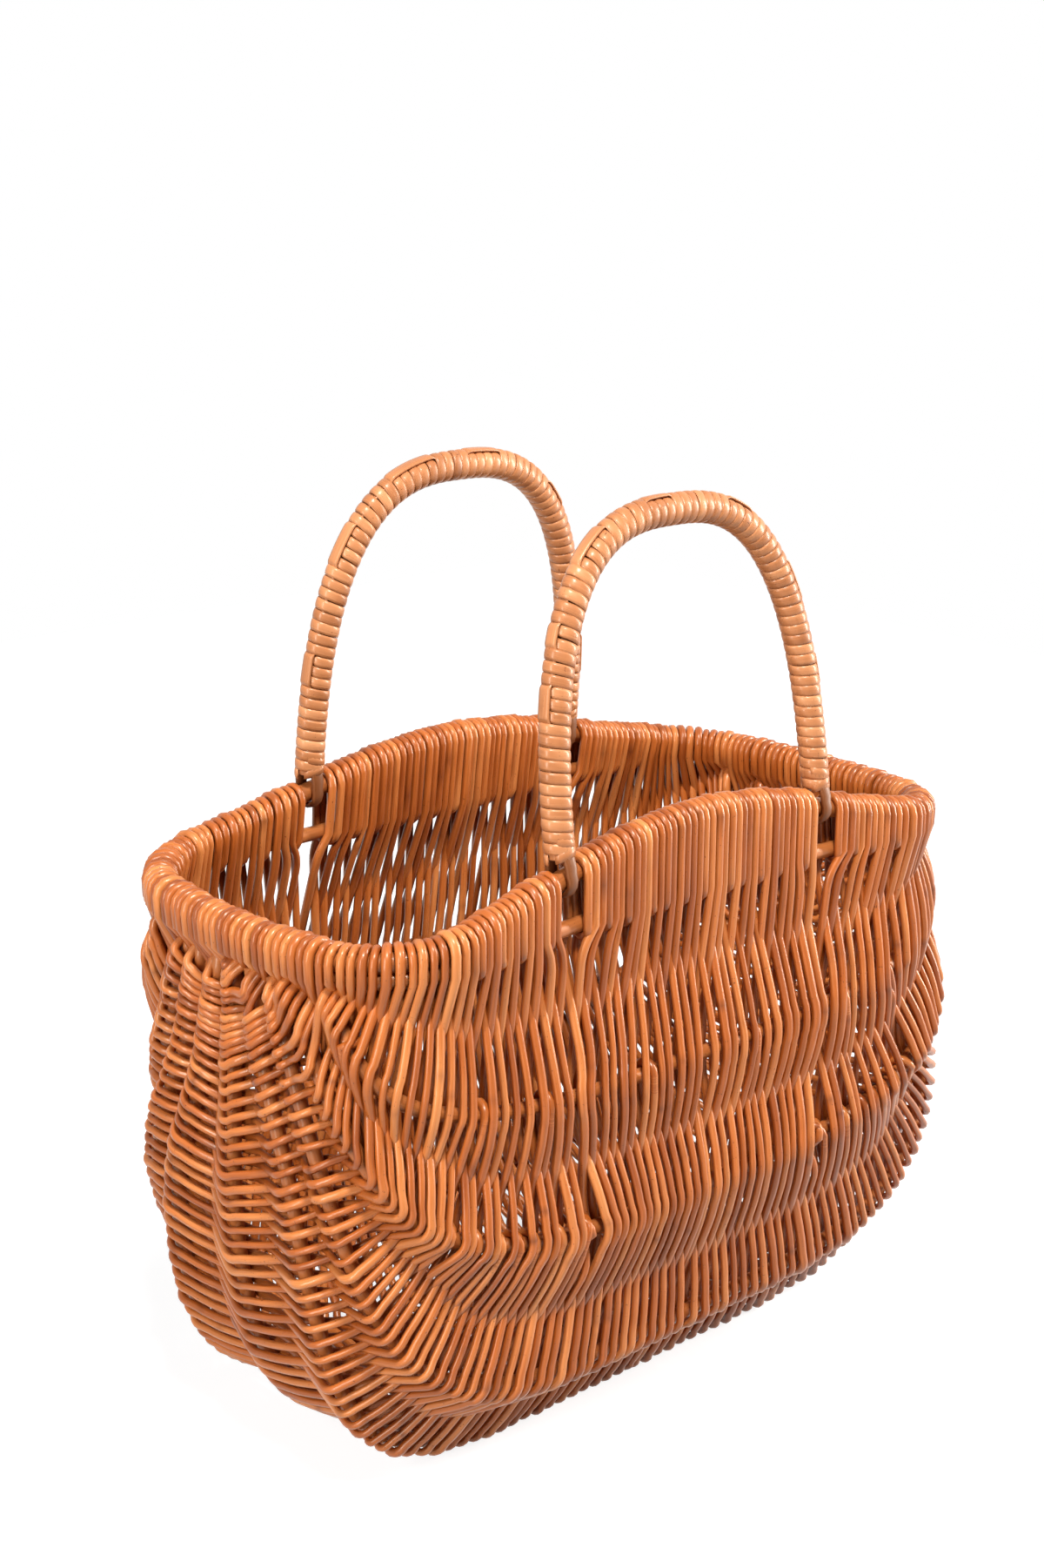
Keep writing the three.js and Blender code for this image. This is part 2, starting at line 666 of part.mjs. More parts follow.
const STRIP_NAMES = ["side_upper", "side_middle", "side_lower", "bottom_outer", "bottom_inner"];
STRIP_NAMES.forEach((name, i) => {
  const lastRow = ribLines.length - 1;
  const isStanding = STANDING_STRIPS.includes(name);
  const rear = standingFlat(wovenStrip(i, isStanding));
  const front = standingFlat(wovenStrip(lastRow - i - 1, isStanding));
  addPiece(basket, `weave_rear_${name}`, rear, weaveColour);
  addPiece(basket, `weave_front_${name}`, front, weaveColour);
});

// Each handle hangs on the hinge line through its two feet and leans towards the basket's middle
function addHandle(name, side, tiltDeg) {
  const handle = new THREE.Group();
  handle.position.set(0, side * sideY(HANDLE_HALF_SPAN), rimCornerHeight + rimRise(HANDLE_HALF_SPAN));
  handle.rotation.x = THREE.MathUtils.degToRad(side * tiltDeg);
  addPiece(handle, `${name}_rod`, handleRod(), peeledRod);
  addPiece(handle, `${name}_winding`, winding(), skeinColour);
  addPiece(handle, `${name}_leader`, leader(), skeinColour);
  basket.add(handle);
}

addHandle("handle_front", -1, FRONT_HANDLE_TILT_DEG);
addHandle("handle_rear", 1, REAR_HANDLE_TILT_DEG);

// The right end swells more than the left, so the part is centred on its own box
const box = new THREE.Box3().setFromObject(basket);
basket.position.x = -(box.min.x + box.max.x) / 2;
const hingeHeight = rimCornerHeight + rimRise(HANDLE_HALF_SPAN);
console.log(`hinge lines at z ${hingeHeight.toFixed(2)}, y ${sideY(HANDLE_HALF_SPAN).toFixed(2)}`);

export default basket;
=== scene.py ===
import math
import bmesh
import bpy
import numpy as np
from mathutils import Matrix, Vector


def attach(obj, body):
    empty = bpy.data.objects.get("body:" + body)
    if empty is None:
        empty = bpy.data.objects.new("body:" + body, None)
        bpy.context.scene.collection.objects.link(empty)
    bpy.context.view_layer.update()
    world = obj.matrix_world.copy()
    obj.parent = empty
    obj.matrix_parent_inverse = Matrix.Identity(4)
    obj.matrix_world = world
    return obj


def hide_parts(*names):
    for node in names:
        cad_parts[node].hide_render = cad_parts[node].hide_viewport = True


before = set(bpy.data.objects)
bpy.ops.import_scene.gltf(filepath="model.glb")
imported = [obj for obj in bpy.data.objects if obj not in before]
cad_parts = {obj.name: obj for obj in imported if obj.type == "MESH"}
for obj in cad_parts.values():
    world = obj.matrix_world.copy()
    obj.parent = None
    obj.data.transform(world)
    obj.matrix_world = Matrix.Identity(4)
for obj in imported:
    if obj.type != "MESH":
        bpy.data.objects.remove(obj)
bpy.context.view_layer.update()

# Rim hoop
# One thick willow rod bent into a closed rounded rectangle that rises at the middle of both long sides.
# It is bare only in the four handle slots; its two ends are scarfed together under the border.
RIM_HALF_LENGTH, RIM_HALF_WIDTH, RIM_CORNER = 210.0, 98.0, 50.0
END_BOW, SIDE_PINCH = 4.0, 6.0
HUMP_RISE, HUMP_HALF_SPAN = 35.0, 229.0
RIM_ROD, RIM_TONE = 5.0, 0.4
CORNER_X, CORNER_Y = RIM_HALF_LENGTH - RIM_CORNER, RIM_HALF_WIDTH - RIM_CORNER
END_POINTS, CORNER_POINTS, SIDE_POINTS = 25, 41, 81
# Shapes are worked out in millimetres from the middle of the hoop, with height 0 at its corners.
MM = 0.001
CENTRE_SHIFT, CORNER_HEIGHT = -7.7068, 284.05
rng = np.random.default_rng(11)


def in_part(points):
    return (points + [CENTRE_SHIFT, 0, CORNER_HEIGHT]) * MM


def unit(vector):
    return vector / np.linalg.norm(vector)


def units(vectors):
    return vectors / np.linalg.norm(vectors, axis=1)[:, None]


def run_along(points):
    return np.concatenate([[0], np.cumsum(np.linalg.norm(np.diff(points, axis=0), axis=1))])


def rim_rise(x):
    return HUMP_RISE * (0.5 + 0.5 * np.cos(np.pi * np.minimum(np.abs(x) / HUMP_HALF_SPAN, 1)))


def side_y(x):
    return RIM_HALF_WIDTH - SIDE_PINCH * (1 - (x / CORNER_X) ** 2)


def end_reach(y):
    """How far the hoop reaches lengthwise at a distance from its middle line."""
    if y <= CORNER_Y:
        return RIM_HALF_LENGTH + END_BOW * (1 - (y / CORNER_Y) ** 2)
    return CORNER_X + math.sqrt(RIM_CORNER ** 2 - (y - CORNER_Y) ** 2)


def rim_front():
    """The front half of the rim from its left to its right apex: points, outward directions, arc."""
    rows = []
    for y in np.linspace(0, CORNER_Y, END_POINTS)[:-1]:
        rows.append((end_reach(y), y, 1.0, 2 * END_BOW * y / CORNER_Y ** 2))
    for turn in np.linspace(0, np.pi / 2, CORNER_POINTS)[:-1]:
        c, s = math.cos(turn), math.sin(turn)
        rows.append((CORNER_X + RIM_CORNER * c, CORNER_Y + RIM_CORNER * s, c, s))
    for x in np.linspace(CORNER_X, 0, SIDE_POINTS):
        rows.append((x, side_y(x), -2 * SIDE_PINCH * x / CORNER_X ** 2, 1.0))
    rows = np.array(rows)
    line = np.vstack([-rows, (rows * [1, -1, 1, -1])[::-1][1:]])
    points = np.column_stack([line[:, 0], line[:, 1], rim_rise(line[:, 0])])
    outward = np.column_stack([units(line[:, 2:]), np.zeros(len(line))])
    return points, outward, run_along(points[:, :2])


RIM, RIM_OUT, RIM_ARC = rim_front()
RIM_LENGTH = RIM_ARC[-1]


class RodMesh:
    """Rods that are swept as round tubes and kept together in one mesh. Every point is marked with its
    rod's tone, the metres along the rod, the share of the way round it, and how much of a knot it is."""

    END_CROWN, END_KNOT = 0.12, 0.6
    flat_pieces = False

    def __init__(self, sides):
        self.sides = sides
        self.points, self.faces, self.marks, self.count = [], [], [], 0

    def keep(self, rings, run, tone, knot, closed=False):
        """Keeps rings of points and their marks, each ring joined to the next by faces."""
        n, m = rings.shape[:2]
        i, j = np.meshgrid(np.arange(n if closed else n - 1), np.arange(m), indexing="ij")
        here, there = self.count + i * m, self.count + (i + 1) % n * m
        k = (j + 1) % m
        self.faces.append(np.stack([here + j, here + k, there + k, there + j], -1).reshape(-1, 4))
        around = np.abs(np.arange(m) / m * 2 - 1)
        marks = np.stack(np.broadcast_arrays(tone, run[:, None] * MM, around, knot), -1)
        self.points.append(rings.reshape(-1, 3))
        self.marks.append(marks.reshape(-1, 4))
        self.count += n * m

    def add(self, path, radius, tone, closed=False, knots=0.0):
        """One round rod along a path, its ring of points carried along without a needless twist."""
        path = np.asarray(path, dtype=float)
        n, m = len(path), self.sides
        radius = np.broadcast_to(radius, n)
        ahead = np.roll(path, -1, axis=0) - path
        behind = path - np.roll(path, 1, axis=0)
        if not closed:
            ahead[-1], behind[0] = behind[-1], ahead[0]
        tangent = units(units(ahead) + units(behind))
        normal = np.zeros_like(path)
        seed = np.array([0.3, 0.5, 1.0])
        normal[0] = unit(seed - tangent[0] * seed.dot(tangent[0]))
        for i in range(1, n):
            last = normal[i - 1] - tangent[i] * normal[i - 1].dot(tangent[i])
            normal[i] = last / math.sqrt(last.dot(last))
        twist = np.zeros(n)
        if closed:
            back = unit(normal[-1] - tangent[0] * normal[-1].dot(tangent[0]))
            binormal = np.cross(tangent[0], normal[0])
            twist = -math.atan2(back.dot(binormal), back.dot(normal[0])) * np.arange(n) / n
        side = np.cross(tangent, normal)
        turn = (np.arange(m) * 2 * math.pi / m)[None, :] + twist[:, None]
        rings = path[:, None] + radius[:, None, None] * (
            np.cos(turn)[..., None] * normal[:, None] + np.sin(turn)[..., None] * side[:, None])
        run = run_along(path)
        first = self.count
        self.keep(rings, run, tone, np.broadcast_to(knots, n)[:, None], closed)
        if closed:
            return
        for end, way in ((0, -1), (n - 1, 1)):
            middle = path[end] + tangent[end] * (way * self.END_CROWN * radius[end])
            ring = first + end * m + np.arange(m)
            edge = [ring, first + end * m + (np.arange(m) + 1) % m][::way]
            self.points.append(middle[None])
            self.marks.append(np.array([[tone, run[end] * MM, 0, self.END_KNOT]]))
            self.faces.append(np.stack([np.full(m, self.count), *edge], -1))
            self.count += 1

    def build(self, name, material):
        """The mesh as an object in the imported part's frame, smooth and with its marks as an attribute."""
        mesh = bpy.data.meshes.new(name)
        faces = [face for block in self.faces for face in block.tolist()]
        mesh.from_pydata(in_part(np.vstack(self.points)).tolist(), [], faces)
        mesh.polygons.foreach_set("use_smooth", [True] * len(faces))
        if self.flat_pieces:
            work = bmesh.new()
            work.from_mesh(mesh)
            bmesh.ops.recalc_face_normals(work, faces=work.faces)
            work.to_mesh(mesh)
            work.free()
        rod = mesh.attributes.new("rod", "FLOAT_COLOR", "POINT")
        rod.data.foreach_set("color", np.vstack(self.marks).ravel())
        mesh.materials.append(material)
        mesh.update()
        piece = bpy.data.objects.new(name, mesh)
        bpy.context.collection.objects.link(piece)
        return piece


def add_node(tree, kind, inputs, **settings):
    """A new material node with its settings; each input is a value or another node's output."""
    made = tree.nodes.new(kind)
    for key, value in settings.items():
        setattr(made, key, value)
    for key, value in inputs.items():
        if isinstance(value, bpy.types.NodeSocket):
            tree.links.new(value, made.inputs[key])
        else:
            made.inputs[key].default_value = value
    return made


def maths(tree, operation, *values):
    return add_node(tree, "ShaderNodeMath", dict(enumerate(values)), operation=operation).outputs[0]


# The varnish is clear and slightly warm. Fibres run along a rod, and knots and specks are its darkest spots.
VARNISH = {"Specular IOR Level": 0.4, "Specular Tint": (1.0, 0.82, 0.6, 1), "Coat IOR": 1.45,
           "Coat Roughness": 0.23, "Coat Tint": (1.0, 0.93, 0.82, 1)}
RODS_APART, AROUND_SPAN = 40, 0.008
DRIFT_SCALE, FIBRE_SCALE, SPECK_SCALE = (12, 6), (60, 1500), (900, 900)
TONE_SHARE, DRIFT_SHARE, FIBRE_SHARE, FIBRE_SHIFT = 0.3, 0.7, 0.35, -0.17
DEEP_AT, MIDDLE_AT, PALE_AT = 0.12, 0.5, 0.9
SPECK_FROM, SPECK_TO = 0.72, 0.78
KNOT_SHADE = np.array([0.5, 0.42, 0.4])
FIBRE_ROUGHNESS, ROUGHNESS_SHIFT = 0.22, -0.1
FIBRE_STRENGTH, FIBRE_HEIGHT = 0.35, 0.0004


def willow(name, pale, middle, deep, roughness, coat):
    """Varnished willow: long fibres, tone that drifts from rod to rod, dark specks and knots."""
    material = bpy.data.materials.new(name)
    material.use_nodes = True
    tree = material.node_tree
    shader = tree.nodes["Principled BSDF"]
    for socket, value in VARNISH.items():
        shader.inputs[socket].default_value = value
    shader.inputs["Coat Weight"].default_value = coat
    rod = add_node(tree, "ShaderNodeAttribute", {}, attribute_name="rod")
    tone, run, around = add_node(tree, "ShaderNodeSeparateColor", {0: rod.outputs["Color"]}).outputs[:3]
    apart = maths(tree, "MULTIPLY", tone, RODS_APART)
    across = maths(tree, "MULTIPLY", around, AROUND_SPAN)
    place = add_node(tree, "ShaderNodeCombineXYZ", {"X": apart, "Y": run, "Z": across})

    def noise(scales, detail):
        stretched = add_node(tree, "ShaderNodeMapping", {"Vector": place.outputs[0], "Scale": (1, *scales)})
        inputs = {"Vector": stretched.outputs[0], "Scale": 1.0, "Detail": detail}
        return add_node(tree, "ShaderNodeTexNoise", inputs).outputs[0]

    drift, fibre, speck = noise(DRIFT_SCALE, 2), noise(FIBRE_SCALE, 3), noise(SPECK_SCALE, 1)

    shade = maths(tree, "MULTIPLY_ADD", tone, TONE_SHARE, maths(tree, "MULTIPLY", drift, DRIFT_SHARE))
    streak = maths(tree, "MULTIPLY_ADD", fibre, FIBRE_SHARE, FIBRE_SHIFT)
    ramp = add_node(tree, "ShaderNodeValToRGB", {0: maths(tree, "ADD", shade, streak)})
    stops = ramp.color_ramp.elements
    stops[0].position, stops[0].color = DEEP_AT, (*deep, 1)
    stops[1].position, stops[1].color = PALE_AT, (*pale, 1)
    stops.new(MIDDLE_AT).color = (*middle, 1)
    speck_range = {"Value": speck, "From Min": SPECK_FROM, "From Max": SPECK_TO}
    specks = add_node(tree, "ShaderNodeMapRange", speck_range).outputs[0]
    knots = maths(tree, "MAXIMUM", specks, rod.outputs["Alpha"])
    colours = {"Factor": knots, 6: ramp.outputs[0], 7: (*(deep * KNOT_SHADE), 1)}
    spotted = add_node(tree, "ShaderNodeMix", colours, data_type="RGBA").outputs[2]
    tree.links.new(spotted, shader.inputs["Base Color"])

    gloss = maths(tree, "MULTIPLY_ADD", fibre, FIBRE_ROUGHNESS, roughness + ROUGHNESS_SHIFT)
    tree.links.new(gloss, shader.inputs["Roughness"])
    relief = {"Height": fibre, "Strength": FIBRE_STRENGTH, "Distance": FIBRE_HEIGHT}
    tree.links.new(add_node(tree, "ShaderNodeBump", relief).outputs[0], shader.inputs["Normal"])
    return material


frame_willow = willow("thick_willow", pale=(0.56, 0.20, 0.055), middle=(0.40, 0.12, 0.03),
                      deep=(0.20, 0.045, 0.01), roughness=0.40, coat=0.3)

hoop = RodMesh(14)
hoop.add(np.vstack([RIM, (RIM * [1, -1, 1])[::-1][1:-1]]), RIM_ROD, RIM_TONE, closed=True)
rim_hoop = hoop.build("willow_rim_hoop", frame_willow)
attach(rim_hoop, "basket")
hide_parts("rim_hoop")

# Side rails
# A thinner willow rod runs under the rim along each long side, deepest below it at the middle.
# The weaving rods are lapped round rim and rail together, so it shows only in the handle slots.
RAIL_ROD, RAIL_OUTSET, RAIL_END_GAP = 4.0, 2.0, 1.0
RAIL_DROP_ENDS, RAIL_DROP_MIDDLE = 9.5, 1.0
RAIL_TONES = {"front": 0.35, "rear": 0.55}
rail_span = np.sqrt(np.clip(1 - (RIM[:, 0] / RIM_HALF_LENGTH) ** 2, 0, 1))
RAIL = RIM + RIM_OUT * (RAIL_OUTSET * rail_span)[:, None]
RAIL[:, 2] = -(RAIL_DROP_ENDS + (RAIL_DROP_MIDDLE - RAIL_DROP_ENDS) * rail_span)
rail_kept = (RIM_ARC > RAIL_END_GAP) & (RIM_ARC < RIM_LENGTH - RAIL_END_GAP)
for side, face in ((-1, "front"), (1, "rear")):
    rail = RodMesh(12)
    rail.add(RAIL[rail_kept] * [1, -side, 1], RAIL_ROD, RAIL_TONES[face])
    piece = rail.build(f"willow_rail_{face}", frame_willow)
    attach(piece, "basket")
    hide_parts(f"rail_{face}")

# Lengthwise ribs
# Nine willow rods run down one end wall, along the basket and up the other end wall, and give it its
# belly and its boat-shaped bottom. Their sharpened ends stand in the border behind the rail.
RIB_ROD, RIB_START, RIB_TONES = 3.75, 16.0, (0.2, 0.6)
# From the centre rib outwards: its distance from the middle line at the ends and at the middle, its drop
# at the middle, how far it fans out between, in front and at the rear, and how boxy it is, along and down.
RIBS = (
    (0, 0, 276, (0, 0), 6.0, 3.6),
    (12, 61, 276, (13, 16), 6.0, 3.6),
    (27, 97, 237, (7, 20), 4.6, 3.0),
    (38, 109, 158, (9, 8), 3.4, 3.4),
    (61, 106, 86, (1, 1), 3.4, 3.5),
)
OUTERMOST = len(RIBS) - 1
FAN_TOP, FAN_FULL, REAR_FAN_LOWER = 30.0, 130.0, 20.0
LEFT_SWELL, LEFT_SWELL_TOP, LEFT_SWELL_FULL = 4.0, 20.0, 170.0
RIGHT_SWELL, RIGHT_SWELL_TOP, RIGHT_SWELL_FULL = 30.0, 45.0, 195.0
REAR_LEFT_TUCK, TUCK_TOP, TUCK_FULL = 11.0, 23.0, 60.0
RIB_POINTS, POINTS_PER_RING = 1200, 12


def smooth(value, low, high):
    t = np.clip((value - low) / (high - low), 0, 1)
    return t * t * (3 - 2 * t)


def rib_curve(k, side):
    """A rib's evenly spaced points from its left to its right end, and the arc at each."""
    start_y, middle_y, middle_drop, fan, boxy_along, boxy_down = RIBS[k]
    t = np.linspace(0, np.pi, RIB_POINTS)
    c = np.cos(t)
    depth = np.clip(np.sin(t), 0, 1) ** (2 / boxy_down)
    drop = RIB_START + (middle_drop - RIB_START) * depth
    opened = smooth(drop - REAR_FAN_LOWER * (side > 0), FAN_TOP, FAN_FULL)
    y = start_y + (middle_y - start_y) * depth + fan[side > 0] * np.sin(np.pi * depth) * opened
    swell = np.where(c > 0, LEFT_SWELL * smooth(drop, LEFT_SWELL_TOP, LEFT_SWELL_FULL),
                     RIGHT_SWELL * smooth(drop, RIGHT_SWELL_TOP, RIGHT_SWELL_FULL))
    x = -(end_reach(start_y) + swell) * np.sign(c) * np.abs(c) ** (2 / boxy_along)
    if side > 0:
        corner = np.minimum(1, (x / RIM_HALF_LENGTH) ** 4 * (y / RIM_HALF_WIDTH) ** 2)
        tuck = REAR_LEFT_TUCK * math.sqrt(0.5) * corner * smooth(drop, TUCK_TOP, TUCK_FULL) * (x < 0)
        x, y = x + tuck, y - tuck
    points = np.column_stack([x, side * y, -drop])
    run = run_along(points)
    arc = np.linspace(0, run[-1], RIB_POINTS)
    return np.column_stack([np.interp(arc, run, points[:, i]) for i in range(3)]), arc


class Rib:
    def __init__(self, k, side):
        self.k, self.side = k, side
        self.points, self.arc = rib_curve(k, side)
        self.length = self.arc[-1]
        self.middle = self.arc[np.argmin(np.abs(self.points[:, 0]))]

    def reach(self, left):
        """The rib's length from one end of the basket to its middle."""
        return self.middle if left else self.length - self.middle


ribs = [Rib(k, 1) for k in (4, 3, 2, 1)] + [Rib(0, -1)] + [Rib(k, -1) for k in (1, 2, 3, 4)]
for rib in ribs:
    rod = RodMesh(10)
    rod.add(rib.points[::POINTS_PER_RING], RIB_ROD, rng.uniform(*RIB_TONES))
    face = "centre" if rib.k == 0 else ("rear" if rib.side > 0 else "front") + f"_{rib.k}"
    piece = rod.build(f"willow_rib_{face}", frame_willow)
    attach(piece, "basket")
    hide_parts(f"rib_{face}")

# Weaving rods
# Thin willow rods, soaked and woven from rim to rim over one rib and under the next. At each rim a rod
# passes up inside, is lapped over rim and rail, and goes down outside as the next row; some are lapped
# twice to fill the border, and a few turn back at a rib instead. The varnish over them all is satin.
LAP_PITCH, LAP_WOBBLE, LAP_WIDTHS = 4.73, 0.3, (0.84, 1.16)
SLOT_X, SLOT_W = 93.4, 16.0
# Along the sides, the count of single laps before the first double lap and then between two of them.
SIDE_FROM, FIRST_GAP, DOUBLE_GAPS = -155.0, 2, (1, 1, 2, 0)
# A rod is a little thinner below the border, apart from those that close up beside a handle slot.
ROD, ROD_SPREAD = 2.22, (0.97, 1.03)
THIN_BELOW, THIN_FULL, THIN_TOP = 0.94, -45.0, -15.0
FULL_BESIDE_SLOT, BESIDE_SLOT = 1.03, 14.0
# Where the rods cross a rib, counted from the basket's end: the count and the spacing there, by rib.
SPACINGS = {
    4: ((0, 10), (2.9, 3.2)),
    3: ((0, 10, 25, 28, 62, 66), (3.8, 4.4, 4.4, 2.6, 2.6, 3.5)),
    0: ((0, 18, 24, 45, 60), (2.2, 2.2, 3.5, 3.6, 4.1)),
}
# For the two ribs beside the centre one: drops of rods there, and the drops they take on this rib.
LEVEL = {
    1: ((18, 30, 60, 90, 160, 230), (18, 26, 52, 80, 150, 225)),
    2: ((38, 60, 87, 115, 157, 200), (18, 42, 69, 98, 140, 187)),
}
LEVEL_FROM, LEVEL_TO, LEVEL_FADE = 215.0, 160.0, 6
INSIDE_RAISE, RAISE_TOP, RAISE_FULL = 3.5, 40.0, 70.0
STRAY, STRAY_PER_RIB = 0.25, 0.09
LEAN_OUTSIDE, LEAN_INSIDE, LEAN_FROM_RIB, LEAN_FADE = 4.0, 4.4, 3, 5
# Rods that turn back at a rib, by rib, as shares of the way from the basket's end to its middle.
TURNED = {4: (0.28, 0.47, 0.58, 0.86), 3: tuple(np.linspace(0.45, 0.65, 8))}
TURNED_WIDTH, JUST_BEHIND, HOOK_ROOM = 0.93, 0.3, 0.45
KNOB_SWELL, KNOB_REACH = 0.3, 4.5
# Rods that start this near the basket's end pass a rib together with its neighbour, by rib.
PASSED_AS_ONE = {1: 24.0, 3: 66.0}
# By rib: how softly a rod bends over it, and the room between them where the rod passes outside.
RIB_BENDS, RIB_ROOM = (5.0, 5.0, 5.0, 5.0, 12.0), (0.3, 0.3, 0.6, 1.2, 0.6)
# Between two ribs a rod leaves the wall's face at its shoulders; they are lopsided on the end walls.
SHOULDER, END_SHOULDER, SHOULDER_STAND, SHOULDER_BEND, SHORTEST_SHOULDER = 0.22, 0.34, 0.74, 9.0, 4.0
END_WALL_FROM, END_WALL_TO = 150.0, 190.0
# Near a handle slot the rods close up below it, straight under the border.
SLOT_NEAR, SLOT_SHARE, SLOT_PULL = 34.0, 0.15, 0.6
HALF_TURN_STEPS, WALL_STEPS, BOW_POINTS = 6, 240, 20
BEND_SHARE, BEND_CUT, SHORTEST_STEP, LONGEST_STEP = 0.42, 0.25, 0.3, 12
# A rod's thickness wavers along it, and it has small dark knots.
WAVE_SWELL, WAVE_LENGTHS = 0.035, (25, 60)
KNOT_SWELL, KNOT_LONG, KNOT_STRAY, FIRST_KNOT, KNOTS_APART = 0.07, 1.6, 20, 90, (80, 150)
KNOT_DARKNESS = (0.1, 0.7)
FLOOR_ROOM = 1.06
UPWARD = np.array([0, 0, 1.0])


def along(table, arc):
    return np.array([np.interp(arc, RIM_ARC, table[:, i]) for i in range(3)])


def arc_at(x):
    """The rim's arc at a lengthwise place on its side, where x grows with the arc."""
    side = slice(BOW_POINTS, -BOW_POINTS)
    return np.interp(x, RIM[side, 0], RIM_ARC[side])


SLOT_ARCS = arc_at((-SLOT_X, SLOT_X))


def wall_normals():
    """Gives each rib the wall's outward direction along it, from its neighbours on both sides."""
    share = np.linspace(0, 1, WALL_STEPS + 1)
    rows = [np.array([along(RAIL, s) for s in share * RIM_LENGTH]) * [1, -1, 1]]
    for rib in ribs:
        arcs = share * rib.length
        rows.append(np.column_stack([np.interp(arcs, rib.arc, rib.points[:, i]) for i in range(3)]))
    rows.append(rows[0] * [1, -1, 1])
    rows = np.array(rows)
    ahead = np.gradient(rows, axis=1)
    for r, rib in enumerate(ribs, 1):
        across = units(rows[r] - rows[r - 1]) + units(rows[r + 1] - rows[r])
        rib.out = units(np.cross(ahead[r], across))


wall_normals()


def on_rib(rib, arc):
    """The rib's point at an arc, the wall's outward direction there and the direction along the rib."""
    point = np.array([np.interp(arc, rib.arc, rib.points[:, i]) for i in range(3)])
    share = arc / rib.length * WALL_STEPS
    i = min(int(share), WALL_STEPS - 1)
    out = rib.out[i] + (rib.out[i + 1] - rib.out[i]) * (share - i)
    j = min(max(int(arc / rib.length * (RIB_POINTS - 1)), 1), RIB_POINTS - 2)
    return point, unit(out), unit(rib.points[j + 1] - rib.points[j - 1])


def lap_places():
    """Arcs of all laps on the front rim, which leave its slots open, and their relative widths."""
    slot_edges = [arc_at(x + edge * SLOT_W / 2) for x in (-SLOT_X, SLOT_X) for edge in (-1, 1)]
    edges = [0, *slot_edges, RIM_LENGTH]
    places, widths = [], []
    for low, high in zip(edges[::2], edges[1::2]):
        wide = rng.uniform(*LAP_WIDTHS, round((high - low) / LAP_PITCH))
        places += list(low + (np.cumsum(wide) - wide / 2) * (high - low) / wide.sum())
        widths += list(wide)
    return np.array(places), np.array(widths)


def turns_of(places):
    """Each rod's first and last lap at a rim; along the sides about every second rod is lapped twice."""
    side_from = arc_at(SIDE_FROM)
    turns, waiting, count, gap, doubles = [], None, 0, FIRST_GAP, 0
    for i, place in enumerate(places):
        if waiting is not None:
            turns.append((waiting, place))
            waiting = None
            continue
        count += 1
        on_side = side_from < place < RIM_LENGTH - side_from
        beside_slot = i + 1 < len(places) and places[i + 1] - place > SLOT_W
        if on_side and count > gap and not beside_slot:
            waiting, count = place, 0
            gap = DOUBLE_GAPS[doubles % len(DOUBLE_GAPS)]
            doubles += 1
        else:
            turns.append((place, place))
    return turns


def places_on(reach, n, stations, spacings):
    """Places of n rods on half a rib, from the basket's end to its middle, tight at the end."""
    w = np.interp(np.arange(n), stations, spacings)
    fixed = np.arange(n) < stations[-1]
    w[~fixed] *= (reach - w[fixed].sum()) / w[~fixed].sum()
    return np.cumsum(w) - w / 2


def levelled(rib, left, centre_drops):
    """Places on a rib beside the centre one, by the rods' drops there: on the end wall a little higher."""
    half = RIB_POINTS // 2
    drops = -(rib.points if left else rib.points[::-1])[:half, 2]
    wanted = np.interp(np.interp(centre_drops, *LEVEL[rib.k]), drops, rib.arc[:half])
    count = int((centre_drops < LEVEL_TO).sum())
    last = wanted[count - 1]
    rest = len(centre_drops) - count
    mean = (rib.reach(left) - last) / (rest + 0.5)
    w = 1 + ((last - wanted[count - 2]) / mean - 1) * np.exp(-np.arange(rest) / LEVEL_FADE)
    w *= (rib.reach(left) - last - mean / 2) / w.sum()
    return np.concatenate([wanted[:count], last + np.cumsum(w)])


class Leg:
    """One of a rod's two ways across the ribs: its place in the row, its rod and the first rib it meets."""

    def __init__(self, place, second, rod, first_rib, start=math.inf):
        self.place, self.second, self.rod, self.first_rib, self.start = place, second, rod, first_rib, start
        self.turned = start == math.inf
        self.crossed = {}


def half_legs(turns, left):
    """The legs of one half of the basket in their order along the ribs, first to last from its end."""
    legs = []
    for rod, (a, b) in enumerate(turns):
        start = (a + b) / 2
        if (start < RIM_LENGTH / 2) == left:
            start = start if left else RIM_LENGTH - start
            legs += [Leg(start, second, rod, OUTERMOST, start) for second in (0, 1)]
    legs.sort(key=lambda leg: (leg.place, leg.second))
    for k, shares in TURNED.items():
        for number, share in enumerate(shares):
            full = [leg for leg in legs if leg.first_rib == OUTERMOST]
            near = min(full, key=lambda leg: abs(leg.place - share * RIM_LENGTH / 2))
            legs += [Leg(near.place + JUST_BEHIND, second, (k, number), k) for second in (0, 1)]
    legs.sort(key=lambda leg: (leg.place, leg.second))
    for rank, leg in enumerate(legs):
        leg.phase = rank % 2
    return legs


